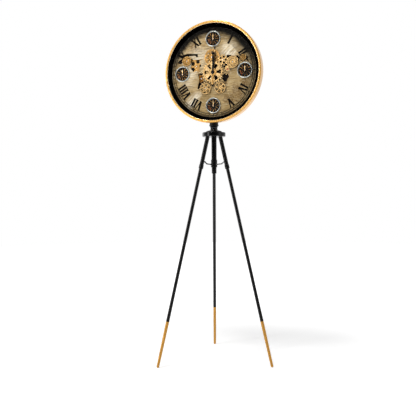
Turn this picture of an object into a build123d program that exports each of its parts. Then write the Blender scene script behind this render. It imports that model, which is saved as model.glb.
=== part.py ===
from build123d import *
import os
from math import acos, atan2, cos, degrees, hypot, pi, radians, sin

# Tripod floor clock. The dial faces -Y, +X is to the right of the dial and +Z is up.
# The origin is on the floor, under the neck. Lengths are in millimetres, angles in degrees.

# Overall
total_height = 1640.0
foot_circle_r = 307.0
leg_turn = 20.0
leg_azimuths = [leg_turn - 60, leg_turn + 60, leg_turn + 180]
fold_limit = 10.5
running_gap = 0.05
overrun = 20.0

# Drum, as radii and as distances in front of the neck axis
drum_r = 245.0
drum_wall = 2.5
drum_front = 27.0
drum_back = 12.0
bezel_skirt = 14.0
bezel_width = 11.0
bezel_shoulder = 5.0
bezel_lip = 2.0
spigot_depth = 4.0
spigot_wall = 2.4
spigot_gap = 0.1
glass_lap = 4.0
glass_gap = 0.3
glass_thickness = 3.0
glass_front = 23.0
rim_wall = 1.8
rim_flange = 7.0
rim_foot = 2.0
back_lip_width = 6.5
back_lip_thickness = 2.5
back_plate_thickness = 2.5
back_plate_gap = 0.3
back_plate_inset = 0.5
back_screw_count = 6
back_screw_r = 1.25
back_screw_head_r = 2.6
back_screw_head = 1.6

# Dial and its plates
rim_width = 17.0
dial_front = 6.0
dial_thickness = 2.0
plate_front = -2.0
plate_thickness = 2.5
plate_inset = 12.0
pillar_r = 4.0
pillar_inset = 13.0
pillar_count = 8
bracket_width = 24.0
bracket_thickness = 2.0
bracket_lap = 15.0
bracket_leg = 5.5
bracket_count = 4
bracket_gap = 0.1

# Numerals and minute track. The dial's shares are of its radius, the letters' of their height.
numeral_circle_share = 0.79724
numeral_height_share = 0.170507
numeral_stroke_share = 0.151351
numeral_hairline_share = 0.091892
numeral_pitch_share = 0.281081
numeral_thickness = 0.6
serif_height = 2.2
serif_overhang = 1.7
track_share = 0.940092
track_line = 0.9
track_gap = 4.6
track_thickness = 0.4
hour_dot_r = 1.9
minute_dot_r = 0.9
minute_count = 60

# Sub-dials
subdial_share = 0.177419
subdial_bezel_width = 6.0
subdial_bezel_height = 6.0
subdial_face_thickness = 1.5
subdial_mark_count = 12
subdial_mark_length = 9.0
subdial_mark_width = 2.2
subdial_mark_gap = 3.0
subdial_mark_height = 0.3
subdial_post_r = 1.0
pointer_reach_gap = 10.5
pointer_tail = 7.0
pointer_width = 6.5
pointer_thickness = 0.8
pointer_hub_r = 3.4
pointer_lift = 2.0

# Wheels: the layers are distances in front of the neck axis. The tooth module is a share of the
# dial's radius, and the shares below the angles are of the module.
module_share = 0.0184332
addendum_share = 0.8
dedendum_share = 1.0
tip_half_share = 0.11
root_half_share = 0.27
rear_layer = -0.5
ring_layer = 7.2
front_layer = 10.2
wheel_thickness = 2.5
ring_thickness = 2.0
seat_gap = 0.3
post_r = 1.5
post_cap_r = 2.8
post_cap = 0.8
tube_r = 3.2
tube_hole_gap = 1.3
centre_teeth = 26
upper_teeth = 10
skeleton_teeth = 12
barrel_teeth = 13
small_teeth = 12
small_front_teeth = 8
small_front_module_share = 0.6375
left_teeth = 21
left_barrel_teeth = 6
lower_teeth = 8
medallion_teeth = 17
upper_angle = 94.0
skeleton_angle = 46.5
barrel_angle = -15.1
small_angle = 6.2
left_angle = 158.7
left_barrel_angle = 150.6
lower_angle = 202.8
medallion_half_angle = 26.0
upper_ring_share = 9.75
upper_hole_share = 1.0
upper_hole_circle_share = 7.0
upper_hole_count = 8
blade_count = 6
blade_inner_share = 4.75
blade_outer_share = 10.5
blade_sweep = 31.0
blade_rise = 0.8
spoke_hole_count = 5
spoke_hole_share = 0.23
spoke_circle_share = 0.58
medallion_share = 6.75
left_barrel_share = 5.75
ridge_width = 3.0
ridge_rise = 1.5
barrel_flange = 1.0
medallion_slot_count = 6
medallion_slot_sweep = 34.0
jewel_radius_share = 3.75
jewel_height = 3.0
small_jewel_radius_share = 1.75

# Hands and their works
bushing_r = 6.55
bushing_flange_r = 9.5
bushing_flange = 1.2
bushing_flange_front = 14.2
hour_tube_r = 4.0
minute_shaft_r = 2.5
hand_thickness = 0.8
hour_hand_front = 16.6
minute_hand_front = 18.2
hand_cap_r = 5.0
hand_cap = 1.4
hour_hand_share = 0.479263
minute_hand_share = 0.603687
hand_root_width = 6.5
hand_neck_width = 3.6
spade_width = 10.0
spade_length = 21.0
hour_hub_r = 8.0
minute_hub_r = 7.0
hand_tail = 12.0
minute_hand_angle = 6.6
hour_hand_angle = minute_hand_angle / 12
bridge_thickness = 1.0
bridge_bar_width = 8.0
bridge_reach_share = 15.25
bridge_foot_r = 3.6
crescent_inner_r = 11.0
crescent_outer_r = 19.5
crescent_start = -80.0
crescent_sweep = 145.0
quartz_side = 56.0
works_depth = 17.5
cell_r = 7.1
cell_length = 50.0
cell_tip_r = 2.7
cell_tip = 1.2
bay_gap = 0.4
bay_end_gap = 1.0
quartz_bay_drop = 16.0
quartz_knob_rise = 12.0
knob_r = 7.5
knob_height = 4.0
knob_stem_r = 2.0
knob_stem = 5.0
motor_width = 66.0
motor_height = 44.0
motor_bay_offset = 9.5
motor_shaft_depth = 3.0
works_window_gap = 0.4

# Neck, hub and column
saddle_r = 21.0
saddle_height = 4.0
bolt_r = 5.0
bolt_head_r = 8.5
bolt_head = 6.0
bolt_bite = 14.0
neck_height = 41.0
neck_top_r = 20.5
neck_belly_r = 23.0
neck_belly_share = 0.86
neck_waist_r = 17.0
neck_waist_share = 0.46
neck_flare_r = 23.0
neck_flare_share = 0.26
neck_foot_r = 38.0
neck_foot_height = 7.0
neck_foot_round = 3.0
hub_r = 56.0
hub_thickness = 20.5
hub_round = 3.0
column_r = 12.7
column_wall = 1.8
column_length = 147.5
column_tip_r = 11.8
column_tip_length = 30.0
sleeve_r = 15.2
sleeve_height = 36.0

# Legs, measured along the leg from its hinge pin
pivot_r = 33.0
pivot_rise = 8.0
pin_r = 2.5
pin_length = 24.0
tongue_r = 7.0
tongue_thickness = 8.0
tongue_gap = 0.3
slot_swing = 2.5
upper_tube_r = 9.75
upper_tube_start = 11.2
upper_plug = 6.0
collar_r = 11.0
collar_length = 19.0
collar_end = 168.6
collar_chamfer = 1.0
lower_tube_r = 7.95
lower_tube_wall = 1.2
lower_tube_lap = 50.0
foot_length = 211.0
foot_top_r = 7.75
foot_tip_r = 6.3
foot_spigot = 20.0
foot_bore_r = 4.6
foot_bore_end = 30.0
foot_groove = 8.0
foot_groove_depth = 0.6
foot_groove_width = 1.6
foot_flat = 0.4

# Folding braces
brace_leg_along = 131.9
brace_leg_out = 13.5
brace_sleeve_r = 18.5
brace_sleeve_rise = 14.0
brace_slack = 1.3
brace_step_share = 0.575
brace_thickness = 1.6
brace_half_width = 2.75
brace_pin_r = 1.25
brace_gap = 0.3
brace_head = 1.2
ear_thickness = 3.0
ear_r = 3.2

# Places worked out from the sizes above
head_z = total_height - drum_r
bezel_inner_r = drum_r - bezel_width
shell_front = drum_front - bezel_skirt
dial_r = bezel_inner_r - rim_width
plate_r = dial_r - plate_inset
pillar_circle_r = plate_r - pillar_inset
track_r = dial_r * track_share
numeral_circle_r = dial_r * numeral_circle_share
numeral_height = dial_r * numeral_height_share
numeral_stroke = numeral_height * numeral_stroke_share
numeral_hairline = numeral_height * numeral_hairline_share
numeral_pitch = numeral_height * numeral_pitch_share
subdial_r = dial_r * subdial_share
subdial_circle_r = track_r - track_gap - track_line - subdial_r
pointer_length = subdial_r - subdial_bezel_width - pointer_reach_gap
tooth_module = dial_r * module_share
small_front_module = tooth_module * small_front_module_share
upper_ring_r = tooth_module * upper_ring_share
upper_hole_r = tooth_module * upper_hole_share
upper_hole_circle_r = tooth_module * upper_hole_circle_share
blade_inner_r = tooth_module * blade_inner_share
blade_outer_r = tooth_module * blade_outer_share
medallion_r = tooth_module * medallion_share
left_barrel_r = tooth_module * left_barrel_share
jewel_r = tooth_module * jewel_radius_share
small_jewel_r = tooth_module * small_jewel_radius_share
hour_hand_length = dial_r * hour_hand_share
minute_hand_length = dial_r * minute_hand_share
bridge_reach = tooth_module * bridge_reach_share
neck_top_z = head_z - drum_r - saddle_height
hub_top_z = neck_top_z - neck_height
hub_bottom_z = hub_top_z - hub_thickness
pivot_z = hub_bottom_z + pivot_rise
column_bottom_z = hub_bottom_z - column_length
tip_centre_z = foot_tip_r - foot_flat
leg_angle = degrees(atan2(foot_circle_r - pivot_r, pivot_z - tip_centre_z))
leg_length = hypot(foot_circle_r - pivot_r, pivot_z - tip_centre_z)
brace_sleeve_z = column_bottom_z + brace_sleeve_rise
dial_back = dial_front - dial_thickness
plate_back = plate_front - plate_thickness
lip_back = back_plate_inset + back_plate_thickness - drum_back


def head(distance=0.0):
    """Place of a shape drawn flat, with its up along the way that the dial faces."""
    return Plane(origin=(0, -distance, head_z), x_dir=(1, 0, 0), z_dir=(0, -1, 0)).location


def radial(azimuth):
    """Place on the stand's axis, with local X out along a leg's azimuth."""
    return Rot(0, 0, azimuth - 90)


def leg_place(azimuth):
    """Place at a leg's hinge, with local -Z along the leg and X outward."""
    return radial(azimuth) * Pos(pivot_r, 0, pivot_z) * Rot(0, -leg_angle, 0)


def disc(radius, depth, low=0.0):
    """Round disc or pin that stands on a height."""
    return Pos(0, 0, low) * Cylinder(radius, depth, align=(Align.CENTER, Align.CENTER, Align.MIN))


def ring(outer, inner, depth, low=0.0):
    """Round ring that stands on a height."""
    return disc(outer, depth, low) - disc(inner, depth, low)


def block(width, length, depth, low=0.0):
    """Box centred on the axis that stands on a height."""
    return Pos(0, 0, low) * Box(width, length, depth, align=(Align.CENTER, Align.CENTER, Align.MIN))


def cross_pin(radius, length, middle=0.0):
    """Round pin along Y."""
    return Pos(0, middle, 0) * Rot(90, 0, 0) * Cylinder(radius, length)


def lathe(outline):
    """Turn an outline of radius and height points round Z."""
    points = [(radius, 0, height) for radius, height in outline]
    return revolve(make_face(Polyline(*points, close=True)), Axis.Z)


def lathe_edges(edges):
    """Turn a closed run of edges, drawn in the XZ plane, round Z."""
    return revolve(make_face(edges), Axis.Z)


def polar(radius, angle):
    """Point on a circle, with the angle in degrees."""
    return radius * cos(radians(angle)), radius * sin(radians(angle))


def plate(points, depth, low=0.0):
    """Flat plate with straight edges."""
    return Pos(0, 0, low) * extrude(make_face(Polyline(*points, close=True)), depth)


def sector(inner, outer, start, sweep, depth, low=0.0):
    """Part of a flat ring between two angles."""
    middle = start + sweep / 2
    end = start + sweep
    edges = [
        Line(polar(inner, start), polar(outer, start)),
        ThreePointArc(polar(outer, start), polar(outer, middle), polar(outer, end)),
        Line(polar(outer, end), polar(inner, end)),
        ThreePointArc(polar(inner, end), polar(inner, middle), polar(inner, start)),
    ]
    return Pos(0, 0, low) * extrude(make_face(edges), depth)


def around(count, radius, shape, start=0.0):
    """Copies of a shape round a circle."""
    return [Rot(0, 0, start + 360 * i / count) * Pos(radius, 0, 0) * shape for i in range(count)]


parts = {}

# Drum wall with the lip that the back plate is screwed to
back_screw_circle_r = drum_r - drum_wall - back_lip_width / 2
shell_wall = ring(drum_r, drum_r - drum_wall, shell_front + drum_back, -drum_back)
lip = ring(drum_r - drum_wall / 2, drum_r - drum_wall - back_lip_width, back_lip_thickness, lip_back)
screw_holes = around(back_screw_count, back_screw_circle_r, disc(back_screw_r, back_lip_thickness, lip_back))
bolt_hole = Pos(0, 0, head_z - drum_r) * Cylinder(bolt_r + running_gap, overrun)
bolt_head_room = disc(bolt_head_r + seat_gap, overrun, head_z - drum_r + drum_wall)
parts["drum_shell"] = head() * (shell_wall + lip - screw_holes) - bolt_hole - bolt_head_room

# Front ring, with a rounded crown and a spigot that fits inside the wall
glass_r = bezel_inner_r + glass_lap
crown_r = drum_r - bezel_shoulder
round_in = bezel_shoulder * (1 - cos(pi / 4))
lip_front = glass_front + bezel_lip
inner_round = (bezel_inner_r + crown_r) / 2
bezel_edges = [
    ThreePointArc((drum_r, 0, drum_front - bezel_shoulder), (drum_r - round_in, 0, drum_front - round_in),
                  (crown_r, 0, drum_front)),
    ThreePointArc((crown_r, 0, drum_front), (inner_round, 0, (drum_front * 2 + lip_front) / 3),
                  (bezel_inner_r, 0, lip_front)),
    Polyline((bezel_inner_r, 0, lip_front), (bezel_inner_r, 0, glass_front),
             (glass_r + glass_gap, 0, glass_front), (glass_r + glass_gap, 0, shell_front),
             (drum_r - drum_wall - spigot_gap - spigot_wall, 0, shell_front),
             (drum_r - drum_wall - spigot_gap - spigot_wall, 0, shell_front - spigot_depth),
             (drum_r - drum_wall - spigot_gap, 0, shell_front - spigot_depth),
             (drum_r - drum_wall - spigot_gap, 0, shell_front), (drum_r, 0, shell_front),
             (drum_r, 0, drum_front - bezel_shoulder)),
]
parts["front_bezel"] = head() * lathe_edges(bezel_edges)

# Black sloped ring from the glass down to the dial, and the glass
glass_back = glass_front - glass_thickness
rim_top_r = glass_r - rim_flange
parts["inner_rim"] = head() * lathe([
    (glass_r, glass_back), (rim_top_r, glass_back), (dial_r - rim_wall, dial_front),
    (dial_r + rim_foot, dial_front), (rim_top_r + rim_wall, glass_back - rim_wall),
    (glass_r, glass_back - rim_wall),
])
parts["front_glass"] = head(glass_back) * disc(glass_r, glass_thickness)


# Wheel places. The wheels in mesh lie the sum of their pitch radii apart.
def pitch_r(teeth):
    return tooth_module * teeth / 2


def from_place(place, distance, angle):
    """Point at a distance and angle from another."""
    step = polar(distance, angle)
    return place[0] + step[0], place[1] + step[1]


def meshed_turn(turn, teeth, angle, own_teeth):
    """Turn of a wheel whose gap meets a tooth of the wheel that lies at the angle behind it."""
    return angle + 180 - (turn - angle) * teeth / own_teeth + 180 / own_teeth


centre_r = pitch_r(centre_teeth)
upper_place = from_place((0, 0), centre_r + pitch_r(upper_teeth), upper_angle)
skeleton_place = from_place((0, 0), centre_r + pitch_r(skeleton_teeth), skeleton_angle)
barrel_place = from_place(skeleton_place, pitch_r(skeleton_teeth) + pitch_r(barrel_teeth), barrel_angle)
small_place = from_place((0, 0), centre_r + pitch_r(small_teeth), small_angle)
left_place = from_place((0, 0), centre_r + pitch_r(left_teeth), left_angle)
left_mesh = pitch_r(left_teeth) + pitch_r(left_barrel_teeth)
left_barrel_place = from_place(left_place, left_mesh, left_barrel_angle)
lower_place = from_place((0, 0), centre_r + pitch_r(lower_teeth), lower_angle)
medallion_angles = {"left_medallion": 270 - medallion_half_angle,
                    "right_medallion": 270 + medallion_half_angle}
medallion_distance = centre_r + pitch_r(medallion_teeth)
medallion_places = {name: from_place((0, 0), medallion_distance, angle)
                    for name, angle in medallion_angles.items()}
motor_place = medallion_places["right_medallion"]
skeleton_turn = meshed_turn(0, centre_teeth, skeleton_angle, skeleton_teeth)
left_turn = meshed_turn(0, centre_teeth, left_angle, left_teeth)

# Dial plate, with windows cut where the wheels show. The window corners are shares of the dial radius.
bracket_window_shares = [
    (-0.869, 0.270), (-0.752, 0.353), (-0.869, 0.435), (-0.850, 0.458), (-0.752, 0.422), (-0.637, 0.449),
    (-0.374, 0.436), (-0.357, 0.366), (-0.405, 0.360), (-0.430, 0.397), (-0.637, 0.396), (-0.742, 0.327),
    (-0.738, 0.264), (-0.772, 0.230), (-0.826, 0.244),
]
left_window_shares = [
    (-0.547, 0.342), (-0.479, 0.313), (-0.339, 0.298), (-0.269, 0.311), (-0.332, 0.255), (-0.283, 0.168),
    (-0.339, 0.083), (-0.469, 0.032), (-0.549, 0.118), (-0.518, 0.215),
]
right_window_shares = [
    (0.124, 0.244), (0.188, 0.303), (0.289, 0.328), (0.323, 0.358), (0.416, 0.352), (0.442, 0.311),
    (0.584, 0.337), (0.610, 0.269), (0.576, 0.102), (0.492, 0.049), (0.375, 0.073), (0.289, -0.003),
    (0.238, 0.106),
]
hook_window_shares = [
    (0.618, 0.340), (0.598, 0.285), (0.640, 0.208), (0.727, 0.200), (0.757, 0.234), (0.801, 0.185),
    (0.834, 0.166), (0.794, 0.249), (0.823, 0.278), (0.777, 0.310), (0.747, 0.283), (0.703, 0.246),
    (0.657, 0.262), (0.633, 0.308),
]
kite_window_shares = [(0.238, -0.049), (0.358, -0.039), (0.371, -0.105), (0.289, -0.256), (0.210, -0.152)]
lower_window_shares = [
    (-0.365, -0.010), (-0.261, 0.012), (-0.234, -0.178), (-0.151, -0.212), (-0.270, -0.278),
    (-0.340, -0.363), (-0.383, -0.343), (-0.354, -0.229), (-0.337, -0.173),
]
foot_window_shares = [(-0.093, -0.234), (-0.039, -0.244), (-0.029, -0.285), (-0.073, -0.285)]
window_tables = [bracket_window_shares, left_window_shares, right_window_shares, hook_window_shares,
                 kite_window_shares, lower_window_shares, foot_window_shares]
centre_window_r = blade_outer_r + ridge_width
tube_hole_r = tube_r + tube_hole_gap
dial_plate = ring(dial_r + rim_foot, centre_window_r, dial_thickness, dial_back)
for table in window_tables:
    corners = [(x * dial_r, y * dial_r) for x, y in table]
    dial_plate -= plate(corners, dial_thickness, dial_back)
tube_places = [upper_place, skeleton_place, barrel_place, small_place, left_barrel_place]
tube_places += list(medallion_places.values())
for place in tube_places:
    dial_plate -= Pos(*place, 0) * disc(tube_hole_r, dial_thickness, dial_back)
parts["dial_plate"] = head() * dial_plate

# Movement plate, pillars and brackets
motor_hole = Pos(*motor_place, 0) * disc(tube_r + running_gap, plate_thickness, plate_back)
parts["movement_plate"] = head() * (
    ring(plate_r, bushing_r, plate_thickness, plate_back) - motor_hole)
pillar = disc(pillar_r, dial_back - plate_front, plate_front)
pillars = around(pillar_count, pillar_circle_r, pillar, 360 / minute_count)
parts["dial_pillars"] = head() * Compound(children=pillars)
shell_inner_r = drum_r - drum_wall
bracket_foot = Pos((plate_r - bracket_lap + shell_inner_r) / 2, 0, 0) * block(
    shell_inner_r - plate_r + bracket_lap, bracket_width, bracket_thickness, plate_back - bracket_thickness)
bracket_wall = Pos(shell_inner_r - bracket_thickness, 0, 0) * block(
    bracket_thickness * 2, bracket_width, bracket_leg, plate_back)
bracket = (bracket_foot + bracket_wall) & disc(shell_inner_r - bracket_gap, 2 * overrun, -overrun)
parts["shell_brackets"] = head() * Compound(children=around(bracket_count, 0, bracket, 45))


# Roman numerals, drawn upright and set round the dial with their feet to the centre
def numeral_bar(left, right, width):
    """One stroke from its foot to its head, with a serif at each end."""
    low = -numeral_height / 2
    high = numeral_height / 2
    shape = plate([(left - width / 2, low), (left + width / 2, low),
                   (right + width / 2, high), (right - width / 2, high)], numeral_thickness)
    serif = block(width + 2 * serif_overhang, serif_height, numeral_thickness)
    shape += Pos(left, low + serif_height / 2, 0) * serif
    return shape + Pos(right, high - serif_height / 2, 0) * serif


def numeral_letter(letter, middle):
    """I, V or X centred on a place."""
    if letter == "I":
        return numeral_bar(middle, middle, numeral_stroke)
    if letter == "V":
        heavy = numeral_bar(middle, middle - numeral_pitch * 3 / 4, numeral_stroke)
        return heavy + numeral_bar(middle, middle + numeral_pitch * 3 / 4, numeral_hairline)
    half = numeral_pitch * 2 / 3
    heavy = numeral_bar(middle + half, middle - half, numeral_stroke)
    return heavy + numeral_bar(middle - half, middle + half, numeral_hairline)


def numeral(text):
    """A whole numeral, centred."""
    widths = {"I": numeral_pitch, "V": numeral_pitch * 2, "X": numeral_pitch * 2}
    start = -sum(widths[letter] for letter in text) / 2
    shape = None
    for letter in text:
        glyph = numeral_letter(letter, start + widths[letter] / 2)
        shape = glyph if shape is None else shape + glyph
        start += widths[letter]
    return shape


numeral_texts = {1: "I", 2: "II", 4: "IV", 5: "V", 7: "VII", 8: "VIII", 10: "X", 11: "XI"}
numerals = [Rot(0, 0, -360 * hour / 12) * Pos(0, numeral_circle_r, 0) * numeral(text)
            for hour, text in numeral_texts.items()]
parts["roman_numerals"] = head(dial_front) * Compound(children=numerals)

track_marks = [ring(track_r + track_gap, track_r + track_gap - track_line, track_thickness),
               ring(track_r - track_gap, track_r - track_gap - track_line, track_thickness)]
for minute in range(minute_count):
    dot_r = hour_dot_r if minute % 5 == 0 else minute_dot_r
    spot = polar(track_r, 90 - 360 * minute / minute_count)
    track_marks.append(Pos(*spot, 0) * disc(dot_r, track_thickness))
parts["minute_track"] = head(dial_front) * Compound(children=track_marks)

# Sub-dials and their pointers
face_r = subdial_r - subdial_bezel_width
subdial_angles = {"top": 90, "right": 0, "bottom": 270, "left": 180}
subdial_places = {side: polar(subdial_circle_r, angle) for side, angle in subdial_angles.items()}
bezel_half = subdial_bezel_width / 2
subdial_bezel = lathe_edges([
    Polyline((subdial_r, 0, bezel_half), (subdial_r, 0, 0), (face_r, 0, 0), (face_r, 0, bezel_half)),
    ThreePointArc((face_r, 0, bezel_half), (face_r + bezel_half, 0, subdial_bezel_height),
                  (subdial_r, 0, bezel_half)),
])
mark_r = face_r - subdial_mark_gap - subdial_mark_length / 2
mark = block(subdial_mark_length, subdial_mark_width, subdial_mark_height, subdial_face_thickness)
pointer_low = subdial_face_thickness + pointer_lift
post_top = pointer_low + pointer_thickness + seat_gap
subdial_face = disc(face_r, subdial_face_thickness) + around(subdial_mark_count, mark_r, mark)
subdial_face += disc(subdial_post_r, post_top - subdial_face_thickness, subdial_face_thickness)
parts["subdial_bezels"] = head(dial_front) * Compound(
    children=[Pos(*place, 0) * subdial_bezel for place in subdial_places.values()])
parts["subdial_faces"] = head(dial_front) * Compound(
    children=[Pos(*place, 0) * subdial_face for place in subdial_places.values()])
leaf_middle = pointer_length * 2 / 3
pointer_bore_r = subdial_post_r + running_gap
pointer = plate([(0, pointer_length), (pointer_width / 2, leaf_middle), (pointer_bore_r, 0),
                 (pointer_bore_r, -pointer_tail), (-pointer_bore_r, -pointer_tail), (-pointer_bore_r, 0),
                 (-pointer_width / 2, leaf_middle)], pointer_thickness, pointer_low)
pointer_hub_low = subdial_face_thickness + seat_gap
pointer += disc(pointer_hub_r, pointer_low + pointer_thickness - pointer_hub_low, pointer_hub_low)
pointer -= disc(pointer_bore_r, overrun)
for side, place in subdial_places.items():
    parts[side + "_pointer"] = head(dial_front) * Pos(*place, 0) * pointer


# Wheels
def gear(teeth, depth, turn, low, module=tooth_module):
    """Toothed disc. Each tooth is a trapezium that runs from the root to the tip circle."""
    root_r = (teeth / 2 - dedendum_share) * module
    tip_r = (teeth / 2 + addendum_share) * module
    corners = [(-root_half_share, root_r), (-tip_half_share, tip_r), (tip_half_share, tip_r),
               (root_half_share, root_r)]
    points = [polar(radius, turn + 360 * (tooth + share) / teeth)
              for tooth in range(teeth) for share, radius in corners]
    return plate(points, depth, low)


def lightened(teeth, shape, low, count, turn):
    """Wheel with round holes between its rim and hub."""
    hole = disc(pitch_r(teeth) * spoke_hole_share, wheel_thickness, low)
    return shape - around(count, pitch_r(teeth) * spoke_circle_share, hole, turn)


def ridges(radii, low):
    """Raised round ridges."""
    return [ring(radius, radius - ridge_width, ridge_rise, low) for radius in radii]


tube_low = plate_front + seat_gap
front_top = front_layer + wheel_thickness
rear_top = rear_layer + wheel_thickness
bore_r = post_r + running_gap


def arbor(top):
    """Tube that a wheel turns on, open from end to end."""
    return disc(tube_r, top - tube_low, tube_low)


gap_sweep = 360 / blade_count - blade_sweep
centre_wheel = gear(centre_teeth, wheel_thickness, 0, front_layer)
for blade in range(blade_count):
    gap_start = 360 * blade / blade_count - gap_sweep / 2
    centre_wheel -= sector(blade_inner_r, blade_outer_r, gap_start, gap_sweep, wheel_thickness, front_layer)
    centre_wheel += sector(blade_inner_r, blade_outer_r, gap_start + gap_sweep, blade_sweep, blade_rise,
                           front_top)
centre_rear = lightened(centre_teeth, gear(centre_teeth, wheel_thickness, 0, rear_layer), rear_layer,
                        spoke_hole_count, 0)
centre_wheel += centre_rear
centre_wheel += disc(bushing_flange_r, front_top - tube_low, tube_low)
centre_wheel -= disc(bushing_r + running_gap, 2 * overrun, -overrun)
parts["centre_wheel"] = head() * centre_wheel

upper_wheel = disc(upper_ring_r, ring_thickness, ring_layer)
upper_hole = disc(upper_hole_r, ring_thickness, ring_layer)
upper_wheel -= around(upper_hole_count, upper_hole_circle_r, upper_hole)
upper_turn = meshed_turn(0, centre_teeth, upper_angle, upper_teeth)
upper_wheel += gear(upper_teeth, wheel_thickness, upper_turn, front_layer)
upper_wheel += arbor(front_top)
upper_wheel -= disc(bore_r, 2 * overrun, -overrun)
parts["upper_wheel"] = head() * Pos(*upper_place, 0) * upper_wheel

skeleton_wheel = lightened(skeleton_teeth, gear(skeleton_teeth, wheel_thickness, skeleton_turn, front_layer),
                           front_layer, spoke_hole_count, 0)
skeleton_wheel += arbor(front_top)
skeleton_wheel -= disc(bore_r, 2 * overrun, -overrun)
parts["skeleton_wheel"] = head() * Pos(*skeleton_place, 0) * skeleton_wheel

barrel_turn = meshed_turn(skeleton_turn, skeleton_teeth, barrel_angle, barrel_teeth)
barrel_r = pitch_r(barrel_teeth) + addendum_share * tooth_module
barrel_root_r = pitch_r(barrel_teeth) - dedendum_share * tooth_module
barrel_top = front_top + seat_gap + barrel_flange
right_barrel = gear(barrel_teeth, wheel_thickness, barrel_turn, front_layer)
right_barrel += disc(barrel_root_r, seat_gap, front_top) + disc(barrel_r, barrel_flange, front_top + seat_gap)
right_barrel += ridges([barrel_r, barrel_r * 2 / 3], barrel_top)
right_barrel += arbor(barrel_top)
right_barrel -= disc(bore_r, 2 * overrun, -overrun)
parts["right_barrel"] = head() * Pos(*barrel_place, 0) * right_barrel

small_turn = meshed_turn(0, centre_teeth, small_angle, small_teeth)
small_pinion = gear(small_teeth, wheel_thickness, small_turn, rear_layer)
small_pinion += gear(small_front_teeth, wheel_thickness, 0, front_layer, small_front_module)
small_pinion += arbor(front_top)
small_pinion -= disc(bore_r, 2 * overrun, -overrun)
parts["small_pinion"] = head() * Pos(*small_place, 0) * small_pinion

left_wheel = lightened(left_teeth, gear(left_teeth, wheel_thickness, left_turn, rear_layer), rear_layer,
                       spoke_hole_count, 0)
left_wheel += arbor(rear_top)
left_wheel -= disc(bore_r, 2 * overrun, -overrun)
parts["left_wheel"] = head() * Pos(*left_place, 0) * left_wheel

left_barrel_turn = meshed_turn(left_turn, left_teeth, left_barrel_angle, left_barrel_teeth)
left_barrel = gear(left_barrel_teeth, wheel_thickness, left_barrel_turn, rear_layer)
left_barrel += disc(left_barrel_r, wheel_thickness, front_layer)
left_barrel += ridges([left_barrel_r, left_barrel_r / 2 + ridge_width], front_top)
left_barrel += arbor(front_top)
left_barrel -= disc(bore_r, 2 * overrun, -overrun)
parts["left_barrel"] = head() * Pos(*left_barrel_place, 0) * left_barrel

lower_turn = meshed_turn(0, centre_teeth, lower_angle, lower_teeth)
lower_barrel = gear(lower_teeth, wheel_thickness, lower_turn, rear_layer)
lower_barrel += ridges([pitch_r(lower_teeth), pitch_r(lower_teeth) / 2 + ridge_width / 2], rear_top)
lower_barrel += arbor(rear_top)
lower_barrel -= disc(bore_r, 2 * overrun, -overrun)
parts["lower_barrel"] = head() * Pos(*lower_place, 0) * lower_barrel

slot_inner_r = medallion_r / 2 + ridge_width / 3
slot_outer_r = medallion_r - ridge_width - ridge_width / 3
for name, place in medallion_places.items():
    turn = meshed_turn(0, centre_teeth, medallion_angles[name], medallion_teeth)
    medallion = gear(medallion_teeth, wheel_thickness, turn, rear_layer)
    medallion = lightened(medallion_teeth, medallion, rear_layer, spoke_hole_count, 0)
    medallion += disc(medallion_r, wheel_thickness, front_layer)
    for slot in range(medallion_slot_count):
        slot_start = 360 * slot / medallion_slot_count
        medallion -= sector(slot_inner_r, slot_outer_r, slot_start, medallion_slot_sweep, wheel_thickness,
                            front_layer)
    medallion += ridges([medallion_r, medallion_r / 2], front_top)
    medallion += arbor(front_top)
    if name == "right_medallion":
        shaft_low = plate_back - motor_shaft_depth
        medallion += disc(tube_r, front_top - shaft_low, shaft_low)
    else:
        medallion -= disc(bore_r, 2 * overrun, -overrun)
    parts[name] = head() * Pos(*place, 0) * medallion

# Posts that the wheels turn on, each with a cap in front of its wheel
post_tops = [(upper_place, front_top), (skeleton_place, front_top), (barrel_place, barrel_top),
             (small_place, front_top), (left_barrel_place, front_top), (left_place, rear_top),
             (lower_place, rear_top), (medallion_places["left_medallion"], front_top)]
posts = [Pos(*place, 0) * (disc(post_r, top + seat_gap - plate_front, plate_front)
                           + disc(post_cap_r, post_cap, top + seat_gap)) for place, top in post_tops]
parts["wheel_posts"] = head() * Compound(children=posts)

# Fixed round settings on the dial, as shares of the dial radius
jewel_share = (0.702, 0.277)
small_jewel_share = (-0.357, 0.066)
jewel = disc(jewel_r, jewel_height) + ridges([jewel_r, jewel_r / 2 + ridge_width / 2], jewel_height)
small_jewel = disc(small_jewel_r, jewel_height) - disc(small_jewel_r / 3, jewel_height)
parts["jewel_settings"] = head(dial_front) * Compound(children=[
    Pos(jewel_share[0] * dial_r, jewel_share[1] * dial_r, 0) * jewel,
    Pos(small_jewel_share[0] * dial_r, small_jewel_share[1] * dial_r, 0) * small_jewel])

# Threaded bushing of the hand works, with the bridge clamped under its nut
bridge_front = bushing_flange_front + bridge_thickness
bushing = ring(bushing_r, hour_tube_r + running_gap, bridge_front - plate_back, plate_back)
bushing += ring(bushing_flange_r, bushing_r, bushing_flange, bushing_flange_front - bushing_flange)
parts["hand_bushing"] = head() * bushing
bridge_bar = Pos(0, -(bushing_r + bridge_reach) / 2, 0) * block(
    bridge_bar_width, bridge_reach - bushing_r, bridge_thickness, bushing_flange_front)
bridge = bridge_bar + ring(bushing_flange_r, bushing_r, bridge_thickness, bushing_flange_front)
bridge += sector(crescent_inner_r, crescent_outer_r, crescent_start, crescent_sweep, bridge_thickness,
                 bushing_flange_front)
bridge += sector(bushing_r + bridge_thickness, crescent_outer_r, -bridge_bar_width, 2 * bridge_bar_width,
                 bridge_thickness, bushing_flange_front)
bridge += Pos(0, -bridge_reach, 0) * disc(bridge_foot_r, bridge_front - dial_front, dial_front)
bridge -= disc(bushing_r, 2 * overrun, -overrun)
parts["train_bridge"] = head() * bridge


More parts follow.
